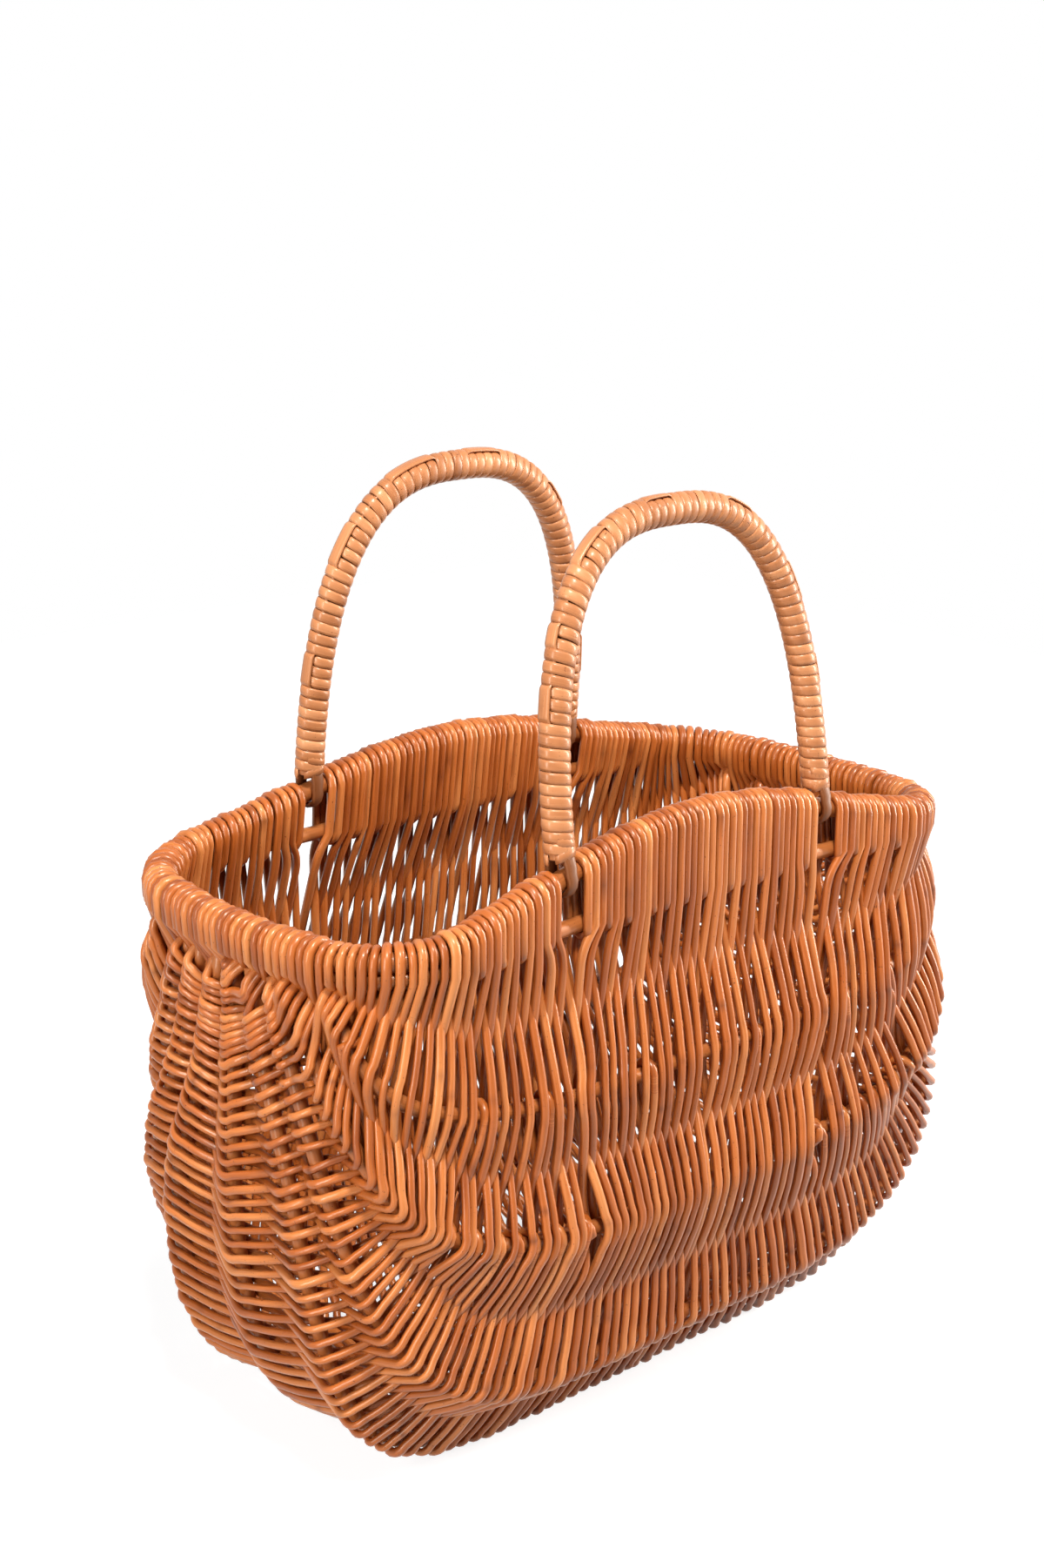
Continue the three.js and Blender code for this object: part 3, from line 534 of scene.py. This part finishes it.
def cross_ribs(legs, left):
    """Gives each leg its place on every rib that it crosses, worked out from the centre rib outwards."""
    for rib in sorted(ribs, key=lambda rib: rib.k):
        here = [leg for leg in legs if leg.first_rib >= rib.k and leg.start > RIBS[rib.k][0] + 1]
        if rib.k in LEVEL:
            arcs = levelled(rib, left, np.array([leg.drop for leg in here]))
        else:
            arcs = places_on(rib.reach(left), len(here), *SPACINGS[rib.k])
        if rib.k == OUTERMOST:
            room = np.array([HOOK_ROOM if leg.turned else 1.0 for leg in here])
            rank = (np.cumsum(room) - room / 2) * len(here) / room.sum() - 0.5
            arcs = np.interp(rank, np.arange(len(here)), arcs)
        for arc, leg in zip(arcs, here):
            sign = side_of(leg, rib)
            if rib.k in LEVEL and sign < 0:
                raised = smooth(leg.drop, LEVEL_FROM, LEVEL_TO) * smooth(leg.drop, RAISE_TOP, RAISE_FULL)
                arc -= INSIDE_RAISE * raised
            arc = min(max(arc + rng.normal(0, STRAY + STRAY_PER_RIB * rib.k), 1.0), rib.length - 1.0)
            arc = arc if left else rib.length - arc
            if rib.k >= LEAN_FROM_RIB:
                lean = LEAN_OUTSIDE if sign > 0 else LEAN_INSIDE
                arc -= lean * min(1, LEAN_FADE * arc / rib.length, LEAN_FADE - LEAN_FADE * arc / rib.length)
            leg.crossed[rib] = arc
            if rib.k == 0:
                leg.drop = -on_rib(rib, arc)[0][2]


def side_of(leg, rib):
    """1 where a rod passes outside a rib and -1 inside; at the apex two ribs are passed as one."""
    index = ribs.index(rib)
    if rib.side < 0 and leg.start < PASSED_AS_ONE.get(rib.k, 0):
        index -= 1
    return 1 if (leg.phase + index) % 2 == 0 else -1


class Station:
    """Where a leg passes a rib or the rail: a point on that, the way off it to the rod, and the bend."""

    def __init__(self, point, off, bend, rib=None, sign=0):
        self.point, self.off, self.bend, self.rib, self.sign = point, off, bend, rib, sign


def crossings(leg, radius):
    """A leg's stations on the ribs, from front to rear."""
    found = []
    for rib in reversed(ribs):
        if rib in leg.crossed:
            point, out, _ = on_rib(rib, leg.crossed[rib])
            sign = side_of(leg, rib)
            stand = RIB_ROD + radius + RIB_ROOM[rib.k] * (sign > 0)
            found.append(Station(point, out * sign * stand, RIB_BENDS[rib.k], rib, sign))
    return found


def rail_station(arc, side, sign, radius):
    """A leg's station at the border, inside or outside the rail."""
    flip = np.array([1, -side, 1])
    return Station(along(RAIL, arc) * flip, along(RIM_OUT, arc) * flip * sign * (RAIL_ROD + radius), 0.0)


def leg_way(stations, arc=None):
    """Control points of one leg: straight over each rib, with a short dive through the wall between."""
    way = []
    last = len(stations) - 2
    for i, (here, there) in enumerate(zip(stations, stations[1:])):
        if i:
            way.append((here.point + here.off, here.bend))
        span = there.point - here.point
        end_wall = float(smooth(abs(here.point[0] + there.point[0]) / 2, END_WALL_FROM, END_WALL_TO))
        leaving = SHOULDER * (1 - end_wall)
        arriving = SHOULDER + (END_SHOULDER - SHOULDER) * end_wall
        for share, off, at_rail in ((leaving, here.off, i == 0), (1 - arriving, there.off, i == last)):
            if min(share, 1 - share) * np.linalg.norm(span) < SHORTEST_SHOULDER:
                continue
            pull = 0
            if arc is not None and at_rail:
                apart = min(abs(arc - slot) for slot in SLOT_ARCS) - SLOT_W / 2
                if apart > SLOT_NEAR:
                    continue
                share = SLOT_SHARE if i == 0 else 1 - SLOT_SHARE
                pull = (1 if i == 0 else -1) * span[0] * SLOT_PULL * (1 - apart / SLOT_NEAR)
            point = here.point + span * share + off * SHOULDER_STAND
            point[0] += pull
            way.append((point, SHOULDER_BEND))
    return way


def lap(arc_up, arc_down, radius, side):
    """A rod's way from inside the rail over the rim to outside the rail, at each rim it passes."""
    flip = np.array([1, -side, 1])
    way = []

    def add(table, arc, grip, angle):
        centre, out = along(table, arc), along(RIM_OUT, arc)
        off = (out * math.cos(angle) + UPWARD * math.sin(angle)) * (grip + radius)
        way.append(((centre + off) * flip, 0.0))

    def over(arc):
        wobble = rng.normal(0, LAP_WOBBLE)
        add(RAIL, arc + wobble, RAIL_ROD, math.pi)
        for step in range(HALF_TURN_STEPS + 1):
            place = arc + wobble * (1 - 2 * step / HALF_TURN_STEPS)
            add(RIM, place, RIM_ROD, math.pi - step * math.pi / HALF_TURN_STEPS)
        add(RAIL, arc - wobble, RAIL_ROD, 0)

    over(arc_up)
    if arc_down != arc_up:
        for step in range(1, HALF_TURN_STEPS):
            place = arc_up + (arc_down - arc_up) * step / HALF_TURN_STEPS
            add(RAIL, place, RAIL_ROD, -step * math.pi / HALF_TURN_STEPS)
        over(arc_down)
    return way


def hook(outer, inner, rib, radius):
    """A turned rod's way round a rib, from outside over the rib's upper side to inside."""
    way = []
    for step in range(HALF_TURN_STEPS + 1):
        angle = step * math.pi / HALF_TURN_STEPS
        arc = outer.crossed[rib] + (inner.crossed[rib] - outer.crossed[rib]) * step / HALF_TURN_STEPS
        point, out, ahead = on_rib(rib, arc)
        up = np.cross(ahead, out)
        up = up if up[2] > 0 else -up
        way.append((point + (out * math.cos(angle) + up * math.sin(angle)) * (RIB_ROD + radius), 0.0))
    return way


def bent(controls):
    """A closed way through control points, straight between them and rounded where they bend."""
    points = np.array([point for point, _ in controls])
    n = len(points)
    path = []
    for i, (point, bend) in enumerate(controls):
        before, after = points[i - 1] - point, points[(i + 1) % n] - point
        a, b = np.linalg.norm(before), np.linalg.norm(after)
        if bend == 0:
            path.append(point)
            continue
        t = min(bend, BEND_SHARE * a, BEND_SHARE * b)
        before, after = before / a, after / b
        peak = point - BEND_CUT * t * (before + after)
        for u in (0.0, 0.25, 0.5, 0.75, 1.0):
            path.append(peak + before * t * (1 - u) ** 2 + after * t * u ** 2)
    full = []
    for i, point in enumerate(path):
        after = path[(i + 1) % len(path)]
        length = np.linalg.norm(after - point)
        if length < SHORTEST_STEP:
            continue
        extra = int(length // LONGEST_STEP)
        for j in range(extra + 1):
            full.append(point + (after - point) * j / (extra + 1))
    return np.array(full)


def rod_radius(path, radius):
    """The rod's own small swellings and its buds, as radii and knot marks along a path."""
    run = run_along(path)
    wave = WAVE_SWELL * np.sin(run / rng.uniform(*WAVE_LENGTHS) + rng.uniform(0, 6))
    knots = np.zeros(len(path))
    for place in np.arange(rng.uniform(0, FIRST_KNOT), run[-1], rng.uniform(*KNOTS_APART)):
        place += rng.uniform(-KNOT_STRAY, KNOT_STRAY)
        knots = np.maximum(knots, np.exp(-((run - place) / KNOT_LONG) ** 2))
    return radius * (1 + wave + KNOT_SWELL * knots), knots * rng.uniform(*KNOT_DARKNESS)


def lapped_way(pair, turn, radius):
    """A lapped rod's whole way: its two legs across the basket and its laps at both rims."""
    up, down = turn
    ways = [crossings(leg, radius) for leg in pair]
    if ways[0][0].sign > 0:
        ways.reverse()
    outside_rail, inside_rail = ways
    same = outside_rail[0].sign == outside_rail[-1].sign
    legs = []
    for way, sign, arc in ((outside_rail, 1, down), (inside_rail, -1, up)):
        rear_sign = sign if same else -sign
        stations = [rail_station(arc, -1, sign, radius), *way, rail_station(arc, 1, rear_sign, radius)]
        legs.append(leg_way(stations, arc))
    rear = lap(up, down, radius, 1)
    front = lap(up, down, radius, -1)
    return front + legs[0] + (rear[::-1] if same else rear) + legs[1][::-1]


def turned_way(pair, radius):
    """A turned rod's whole way between its two hooks, and the tops of these."""
    ways = [crossings(leg, radius) for leg in pair]
    if ways[0][0].sign < 0:
        pair, ways = pair[::-1], ways[::-1]
    outer_way, inner_way = ways
    front, rear = (hook(*pair, outer_way[end].rib, radius) for end in (0, -1))
    tops = [way[HALF_TURN_STEPS // 2][0] for way in (front, rear)]
    return front + leg_way(inner_way) + rear[::-1] + leg_way(outer_way)[::-1], tops


laps_front, lap_widths = lap_places()
turns = turns_of(laps_front)
weave_willow = willow("woven_willow", pale=(0.66, 0.255, 0.078), middle=(0.40, 0.100, 0.016),
                      deep=(0.16, 0.024, 0.002), roughness=0.38, coat=0.4)
WOVEN_NODES = {
    "left": ("border_left_end", "border_front", "weave_front_side_upper", "weave_front_side_middle",
             "weave_front_side_lower", "weave_front_bottom_outer", "weave_front_bottom_inner"),
    "right": ("border_right_end", "border_rear", "weave_rear_side_upper", "weave_rear_side_middle",
              "weave_rear_side_lower", "weave_rear_bottom_outer", "weave_rear_bottom_inner"),
}
for half, nodes in WOVEN_NODES.items():
    woven, turned = RodMesh(8), RodMesh(8)
    legs = half_legs(turns, half == "left")
    cross_ribs(legs, half == "left")
    pairs = {}
    for leg in legs:
        pairs.setdefault(leg.rod, []).append(leg)
    for rod, pair in pairs.items():
        if pair[0].turned:
            radius = ROD * TURNED_WIDTH * rng.uniform(*ROD_SPREAD)
            controls, knobs = turned_way(pair, radius)
            thin = THIN_BELOW
        else:
            width = np.interp(turns[rod], laps_front, lap_widths).mean()
            radius = ROD * width * rng.uniform(*ROD_SPREAD)
            controls, knobs = lapped_way(pair, turns[rod], radius), []
            apart = min(abs(arc - slot) for arc in turns[rod] for slot in SLOT_ARCS) - SLOT_W / 2
            thin = FULL_BESIDE_SLOT if apart < BESIDE_SLOT else THIN_BELOW
        path = bent(controls)
        path[:, 2] = np.maximum(path[:, 2], FLOOR_ROOM * radius - CORNER_HEIGHT)
        radii, knots = rod_radius(path, radius)
        radii = radii * (thin + (1 - thin) * smooth(path[:, 2], THIN_FULL, THIN_TOP))
        for knob in knobs:
            away = np.linalg.norm(path - knob, axis=1)
            radii = radii * (1 + KNOB_SWELL * np.exp(-(away / KNOB_REACH) ** 2))
        (turned if pair[0].turned else woven).add(path, radii, rng.uniform(0, 1), closed=True, knots=knots)
    piece = woven.build(f"lapped_rods_{half}", weave_willow)
    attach(piece, "basket")
    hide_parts(*nodes)
    piece = turned.build(f"turned_rods_{half}", weave_willow)
    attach(piece, "basket")

# Handle rods
# Each handle is a thick willow rod bent into a tall arch. Both its ends are cut down to thin prongs that
# go round the rim hoop in an open slot of the border, and the winding above binds them shut.
HANDLE_HALF_SPAN, HANDLE_HEIGHT, HANDLE_BOXY = SLOT_X, 164.0, 2.74
HANDLE_ROD, HANDLE_TONE, NECK = 5.6, 0.4, 10.5
LEANS = {"front": 9.0, "rear": 3.5}
ARCH_POINTS, CORE_POINTS, ARCH_STEP = 721, 90, 1.5
# The prong's way, inwards and up from the middle of the hoop's rod: down outside, round it, up inside.
PRONG_DOWN = ((-4.2, NECK + 16), (-4.6, NECK + 6), (-5.6, NECK), (-6.8, 6.0))
PRONG_ROUND = (25, 0, -25, -50, -75, -100, -125, -150, -180, -205)
PRONG_UP = ((6.8, 6.5), (5.4, NECK + 1), (4.4, NECK + 8), (4.0, NECK + 16))
PRONG_REACH, PRONG_TONE = RIM_ROD + 2.3, 0.35
PRONG_WIDTH, PRONG_NARROWED, PRONG_THICK, PRONG_THINNED = 7.6, 2.0, 3.4, 0.6
PRONG_OUTLINE = ((-1, -0.6), (-0.7, -1), (0.7, -1), (1, -0.6), (1, 0.5), (0.6, 1), (-0.6, 1), (-1, 0.5))
LENGTHWISE, CROSSWISE = np.array([1.0, 0, 0]), np.array([0, 1.0, 0])


def arch():
    """The handle's centre line as evenly spaced points from its left to its right foot, and their arcs."""
    t = np.linspace(0, np.pi, ARCH_POINTS)
    c = np.cos(t)
    x = -HANDLE_HALF_SPAN * np.sign(c) * np.abs(c) ** (2 / HANDLE_BOXY)
    line = np.column_stack([x, np.zeros(ARCH_POINTS), HANDLE_HEIGHT * np.sin(t) ** (2 / HANDLE_BOXY)])
    run = run_along(line)
    arc = np.linspace(0, run[-1], ARCH_POINTS)
    return np.column_stack([np.interp(arc, run, line[:, i]) for i in range(3)]), arc


ARCH, ARCH_ARC = arch()
ARCH_LENGTH = ARCH_ARC[-1]


def on_arch(arc):
    """Point on the arch's centre line, with its directions along and outward in the arch's plane."""
    point, a, b = (np.array([np.interp(place, ARCH_ARC, ARCH[:, i]) for i in range(3)])
                   for place in (arc, arc - ARCH_STEP, arc + ARCH_STEP))
    ahead = unit(b - a)
    return point, ahead, np.array([-ahead[2], 0, ahead[0]])


def placed(points, face):
    """A handle's own points, leaned inwards and stood on the rim at its two feet."""
    side = -1 if face == "front" else 1
    lean = math.radians(LEANS[face])
    points = np.asarray(points, dtype=float)
    y, z = points[..., 1], points[..., 2]
    foot = np.array([0, side * side_y(HANDLE_HALF_SPAN), rim_rise(HANDLE_HALF_SPAN)])
    leaned = np.stack([points[..., 0], y * math.cos(lean) - side * z * math.sin(lean),
                       z * math.cos(lean) + side * y * math.sin(lean)], -1)
    return leaned + foot


class StripMesh(RodMesh):
    """Flat strips whose every ring of points is given outright, beside round rods in the same mesh."""

    flat_pieces = True

    def rings(self, rings, tone):
        n, m = rings.shape[:2]
        first = self.count
        self.keep(rings, run_along(rings.mean(axis=1)), np.asarray(tone).reshape(-1, 1), 0.0)
        self.faces.append(np.arange(first + m - 1, first - 1, -1)[None])
        self.faces.append(np.arange(first + (n - 1) * m, first + n * m)[None])


def prong(foot_x, face):
    """One end of the rod: down outside the hoop, under it and up inside, thinnest where it passes under."""
    around = [(-PRONG_REACH * math.cos(a), PRONG_REACH * math.sin(a)) for a in np.radians(PRONG_ROUND)]
    inward = 1 if face == "front" else -1
    way = np.array([(foot_x, y * inward, z) for y, z in (*PRONG_DOWN, *around, *PRONG_UP)])
    rings = []
    for i, point in enumerate(way):
        ahead = unit(way[min(i + 1, len(way) - 1)] - way[max(i - 1, 0)])
        outward = unit(np.cross(ahead, LENGTHWISE))
        cut = math.sin(math.pi * i / (len(way) - 1))
        half_width = (PRONG_WIDTH - PRONG_NARROWED * cut) / 2
        half_thick = (PRONG_THICK - PRONG_THINNED * cut) / 2
        rings.append([point + LENGTHWISE * u * half_width + outward * v * half_thick
                      for u, v in PRONG_OUTLINE])
    return placed(rings, face)


handle_willow = willow("split_willow", pale=(0.30, 0.10, 0.03), middle=(0.18, 0.052, 0.013),
                       deep=(0.09, 0.022, 0.005), roughness=0.5, coat=0.1)
for face in ("front", "rear"):
    rod = StripMesh(12)
    core = np.array([on_arch(arc)[0] for arc in np.linspace(NECK, ARCH_LENGTH - NECK, CORE_POINTS)])
    rod.add(placed(core, face), HANDLE_ROD, HANDLE_TONE)
    for foot_x in (-HANDLE_HALF_SPAN, HANDLE_HALF_SPAN):
        rod.rings(prong(foot_x, face), PRONG_TONE)
    piece = rod.build(f"willow_handle_{face}", handle_willow)
    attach(piece, f"handle_{face}")
    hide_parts(f"handle_{face}_rod")

# Winding
# A flat willow skein is wound round each handle from foot to foot. On the outer side it passes for a few
# turns over the leader, a second flat strip laid along the arch, and for a few turns under it, and each
# end of it is crossed over the prongs and tucked in.
TURN_PITCH, TURN_STEPS, WOUND_FROM = 5.5, 28, 10.6
SKEIN_INNER, SKEIN_THICK, SKEIN_LAPPED = 6.3, 1.15, 0.04
SKEIN_WIDTHS, SKEIN_STRAY, SKEIN_PATCHY, SKEIN_DRIFT = (0.9, 1.0), 0.16, 0.25, 0.2
SKEIN_OUTLINE = ((-1, 0), (-0.98, 0.7), (-0.5, 0.98), (0, 1.04), (0.5, 0.98), (0.98, 0.7), (1, 0))
LEADER_WIDE, LEADER_THICK, LEADER_TONE, LEADER_POINTS = 7.0, 1.2, 0.6, 521
LEADER_OUTLINE = ((-1, -0.25), (-1, 0.55), (-0.6, 0.95), (0, 1.05), (0.6, 0.95), (1, 0.55), (1, -0.25))
# On the outer side the skein is lifted over the leader or pressed under it, and the leader comes up
# through the winding between two turns.
LIFT_OVER, PRESSED_UNDER, OUTER_SIDE = 0.95, 0.25, 0.62
LEADER_CLEAR, LEADER_SQUASHED, LEADER_SLOPE = 0.12, 0.35, (0.15, 0.85)
# The crossed finish at a foot: half turns before and along it, its top and how far it comes down.
CROSS_STEPS, CROSS_FROM, CROSS_TURN = 18, 0.15, 1.7
CROSS_HEIGHT, CROSS_FALL, CROSS_HALF_WIDTH, CROSS_TONE = WOUND_FROM + 9.5, 9.0, 2.6, 0.55
CROSS_OUTLINE = ((-1, 0.4), (-0.9, 0.96), (0, 1.17), (0.9, 0.96), (1, 0.4))
# Turn by turn from the left foot: o where the skein passes over the leader, u where it passes under.
PATTERN = {
    "front": "oooooooooooouuuooouuooooouuuuooooouuuooooooouuuoooooouuuuooooouuuooooooooooooooo",
    "rear": "ooooooooouuuoooooooouuuuooooouuuuuoooouuuuooooooouuuoooooouuuooooouuuuoooooooooo",
}


def winding(face):
    """The skein's rings of points and tones, which turns pass over the leader, and the pitch."""
    covered = ARCH_LENGTH - 2 * WOUND_FROM
    wound = int(covered / TURN_PITCH)
    pitch = covered / wound
    pattern = PATTERN[face]
    over = np.array([pattern[turn % len(pattern)] == "o" for turn in range(wound + 2)], dtype=float)
    jitter = rng.normal(0, SKEIN_STRAY, wound + 2)
    wide = rng.uniform(*SKEIN_WIDTHS, wound + 2)
    rings, tones = [], []
    for i in range(wound * TURN_STEPS + 1):
        loops = i / TURN_STEPS
        angle = loops * 2 * math.pi
        turn = int(loops + 0.5)
        centre, ahead, out = on_arch(WOUND_FROM + pitch * loops + jitter[turn])
        radial = out * math.cos(angle) + CROSSWISE * math.sin(angle)
        outer = math.exp(-(math.remainder(angle, 2 * math.pi) / OUTER_SIDE) ** 4)
        lift = outer * (over[turn] * LEADER_THICK * LIFT_OVER - (1 - over[turn]) * PRESSED_UNDER)
        seat = SKEIN_INNER + lift
        half_width = 0.5 * pitch * (wide[turn] + SKEIN_LAPPED)
        rings.append([centre + ahead * half_width * u + radial * (seat + SKEIN_THICK * v)
                      for u, v in SKEIN_OUTLINE])
        tones.append(0.5 + SKEIN_PATCHY * math.sin(turn * 2.4)
                     + SKEIN_DRIFT * math.sin(loops * 0.31 + (face == "rear")))
    return placed(rings, face), np.array(tones), over, pitch


def leader(face, over, pitch):
    """The leader's rings of points: it lies on the skein where that is under, and beneath it elsewhere."""
    rings = []
    for arc in np.linspace(WOUND_FROM, ARCH_LENGTH - WOUND_FROM, LEADER_POINTS):
        centre, ahead, out = on_arch(arc)
        loops = (arc - WOUND_FROM) / pitch
        low = min(int(loops), len(over) - 2)
        hidden = over[low] + (over[low + 1] - over[low]) * float(smooth(loops - low, *LEADER_SLOPE))
        seat = SKEIN_INNER + (SKEIN_THICK + LEADER_CLEAR) * (1 - hidden) - PRESSED_UNDER * hidden
        thick = LEADER_THICK * (1 - LEADER_SQUASHED * hidden)
        rings.append([centre + CROSSWISE * u * LEADER_WIDE / 2 + out * (seat + thick * v)
                      for u, v in LEADER_OUTLINE])
    return placed(rings, face)


def finish_cross(face, left, lean_way):
    """One of the two slanting laps at a foot, in which the skein's end crosses over the prongs."""
    rings = []
    for share in np.linspace(0, 1, CROSS_STEPS + 1):
        angle = math.pi * (CROSS_FROM + CROSS_TURN * share) * lean_way + (0 if left else math.pi)
        height = CROSS_HEIGHT - CROSS_FALL * share
        centre, ahead, out = on_arch(height if left else ARCH_LENGTH - height)
        ahead = ahead if left else -ahead
        radial = out * math.cos(angle) + CROSSWISE * math.sin(angle)
        rings.append([centre + ahead * u * CROSS_HALF_WIDTH + radial * (SKEIN_INNER + SKEIN_THICK * v)
                      for u, v in CROSS_OUTLINE])
    return placed(rings, face)


skein_willow = willow("skein_willow", pale=(0.64, 0.29, 0.13), middle=(0.43, 0.162, 0.06),
                      deep=(0.19, 0.052, 0.013), roughness=0.42, coat=0.3)
for face in ("front", "rear"):
    skein = StripMesh(7)
    rings, tones, over, pitch = winding(face)
    skein.rings(rings, tones)
    for left in (True, False):
        for lean_way in (-1, 1):
            skein.rings(finish_cross(face, left, lean_way), CROSS_TONE)
    piece = skein.build(f"skein_winding_{face}", skein_willow)
    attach(piece, f"handle_{face}")
    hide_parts(f"handle_{face}_winding")

    strip = StripMesh(7)
    strip.rings(leader(face, over, pitch), LEADER_TONE)
    piece = strip.build(f"skein_leader_{face}", skein_willow)
    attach(piece, f"handle_{face}")
    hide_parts(f"handle_{face}_leader")

# Floor
# The plain white sheet that the basket stands on. The camera and the varnish see it nearly white by its
# own glow, which stays off the basket, and the lamps draw the basket's soft shadow on it.
FLOOR_HALF, FLOOR_COLOUR, FLOOR_GLOW = 1.6, 0.35, 0.84


def seen_directly(tree):
    """1 for rays of the camera, off a gloss or through glass, and 0 for those that light the basket."""
    rays = add_node(tree, "ShaderNodeLightPath", {}).outputs
    glossy = maths(tree, "MAXIMUM", rays["Is Camera Ray"], rays["Is Glossy Ray"])
    return maths(tree, "MAXIMUM", glossy, rays["Is Transmission Ray"])


floor_mesh = bpy.data.meshes.new("floor")
floor_corners = [(x * FLOOR_HALF, y * FLOOR_HALF, 0) for x, y in ((-1, -1), (1, -1), (1, 1), (-1, 1))]
floor_mesh.from_pydata(floor_corners, [], [(0, 1, 2, 3)])
floor = bpy.data.objects.new("floor", floor_mesh)
bpy.context.collection.objects.link(floor)
floor_paper = bpy.data.materials.new("white_floor")
floor_paper.use_nodes = True
tree = floor_paper.node_tree
shader = tree.nodes["Principled BSDF"]
shader.inputs["Base Color"].default_value = (FLOOR_COLOUR, FLOOR_COLOUR, FLOOR_COLOUR, 1)
shader.inputs["Roughness"].default_value = 0.9
shader.inputs["Specular IOR Level"].default_value = 0.1
shader.inputs["Emission Color"].default_value = (1, 1, 1, 1)
tree.links.new(maths(tree, "MULTIPLY", seen_directly(tree), FLOOR_GLOW), shader.inputs["Emission Strength"])
floor.data.materials.append(floor_paper)

# Light
# A tall narrow lamp on the right and one on the left draw long lights on rods and handles. A smaller one
# high at the front left lights the rim, and a white room is seen all round but lights only dimly.
ROOM_SEEN, ROOM_LIGHT = 0.96, 0.04


def area_lamp(name, place, aim, size, watts, tint=(1, 1, 1)):
    data = bpy.data.lights.new(name, "AREA")
    data.shape = "RECTANGLE"
    data.size, data.size_y = size
    data.energy = watts
    data.color = tint
    lamp = bpy.data.objects.new(name, data)
    lamp.location = place
    lamp.rotation_euler = (Vector(aim) - Vector(place)).to_track_quat("-Z", "Y").to_euler()
    bpy.context.collection.objects.link(lamp)


area_lamp("right_lamp", (2.15, -1.1, 0.95), (0, 0, 0.35), size=(0.3, 1.8), watts=98, tint=(1.0, 0.98, 0.95))
area_lamp("left_lamp", (-2.3, -0.3, 0.95), (0, 0, 0.35), size=(0.25, 1.8), watts=54)
area_lamp("top_lamp", (-0.6, -0.9, 2.3), (0, 0, 0.25), size=(0.5, 0.4), watts=76)
world = bpy.data.worlds.new("white_room")
bpy.context.scene.world = world
world.use_nodes = True
tree = world.node_tree
room = tree.nodes["Background"]
room.inputs["Color"].default_value = (1, 1, 1, 1)
room_strength = maths(tree, "MULTIPLY_ADD", seen_directly(tree), ROOM_SEEN, ROOM_LIGHT)
tree.links.new(room_strength, room.inputs["Strength"])

# Camera
# It stands before the basket's left front corner and looks a little down, as a seller's picture does.
FOCAL_PIXELS, IMAGE_HEIGHT, SENSOR_WIDTH = 2822.815, 1802, 36
LOOK_AZIMUTH, LOOK_RISE, ROLL = -44.2715, 16.3342, 1.5
STAND_AZIMUTH, STAND_RISE, STAND_DISTANCE = -45.2623, 17.611, 1289.313


def toward(azimuth, rise):
    """The direction from the basket to a viewer, in degrees from its front and above its rim's corners."""
    a, r = math.radians(azimuth), math.radians(rise)
    return np.array([math.sin(a) * math.cos(r), -math.cos(a) * math.cos(r), math.sin(r)])


camera_data = bpy.data.cameras.new("camera")
camera_data.sensor_width = SENSOR_WIDTH
camera_data.lens = FOCAL_PIXELS * SENSOR_WIDTH / IMAGE_HEIGHT
camera = bpy.data.objects.new("camera", camera_data)
back = toward(LOOK_AZIMUTH, LOOK_RISE)
level = unit(np.cross(-back, UPWARD))
upright = np.cross(level, -back)
roll = math.radians(ROLL)
right = level * math.cos(roll) + upright * math.sin(roll)
up = upright * math.cos(roll) - level * math.sin(roll)
camera.matrix_world = Matrix(np.column_stack([right, up, back]).tolist()).to_4x4()
camera.location = in_part(STAND_DISTANCE * toward(STAND_AZIMUTH, STAND_RISE))
bpy.context.collection.objects.link(camera)
bpy.context.scene.camera = camera
bpy.context.scene.view_settings.view_transform = "Standard"
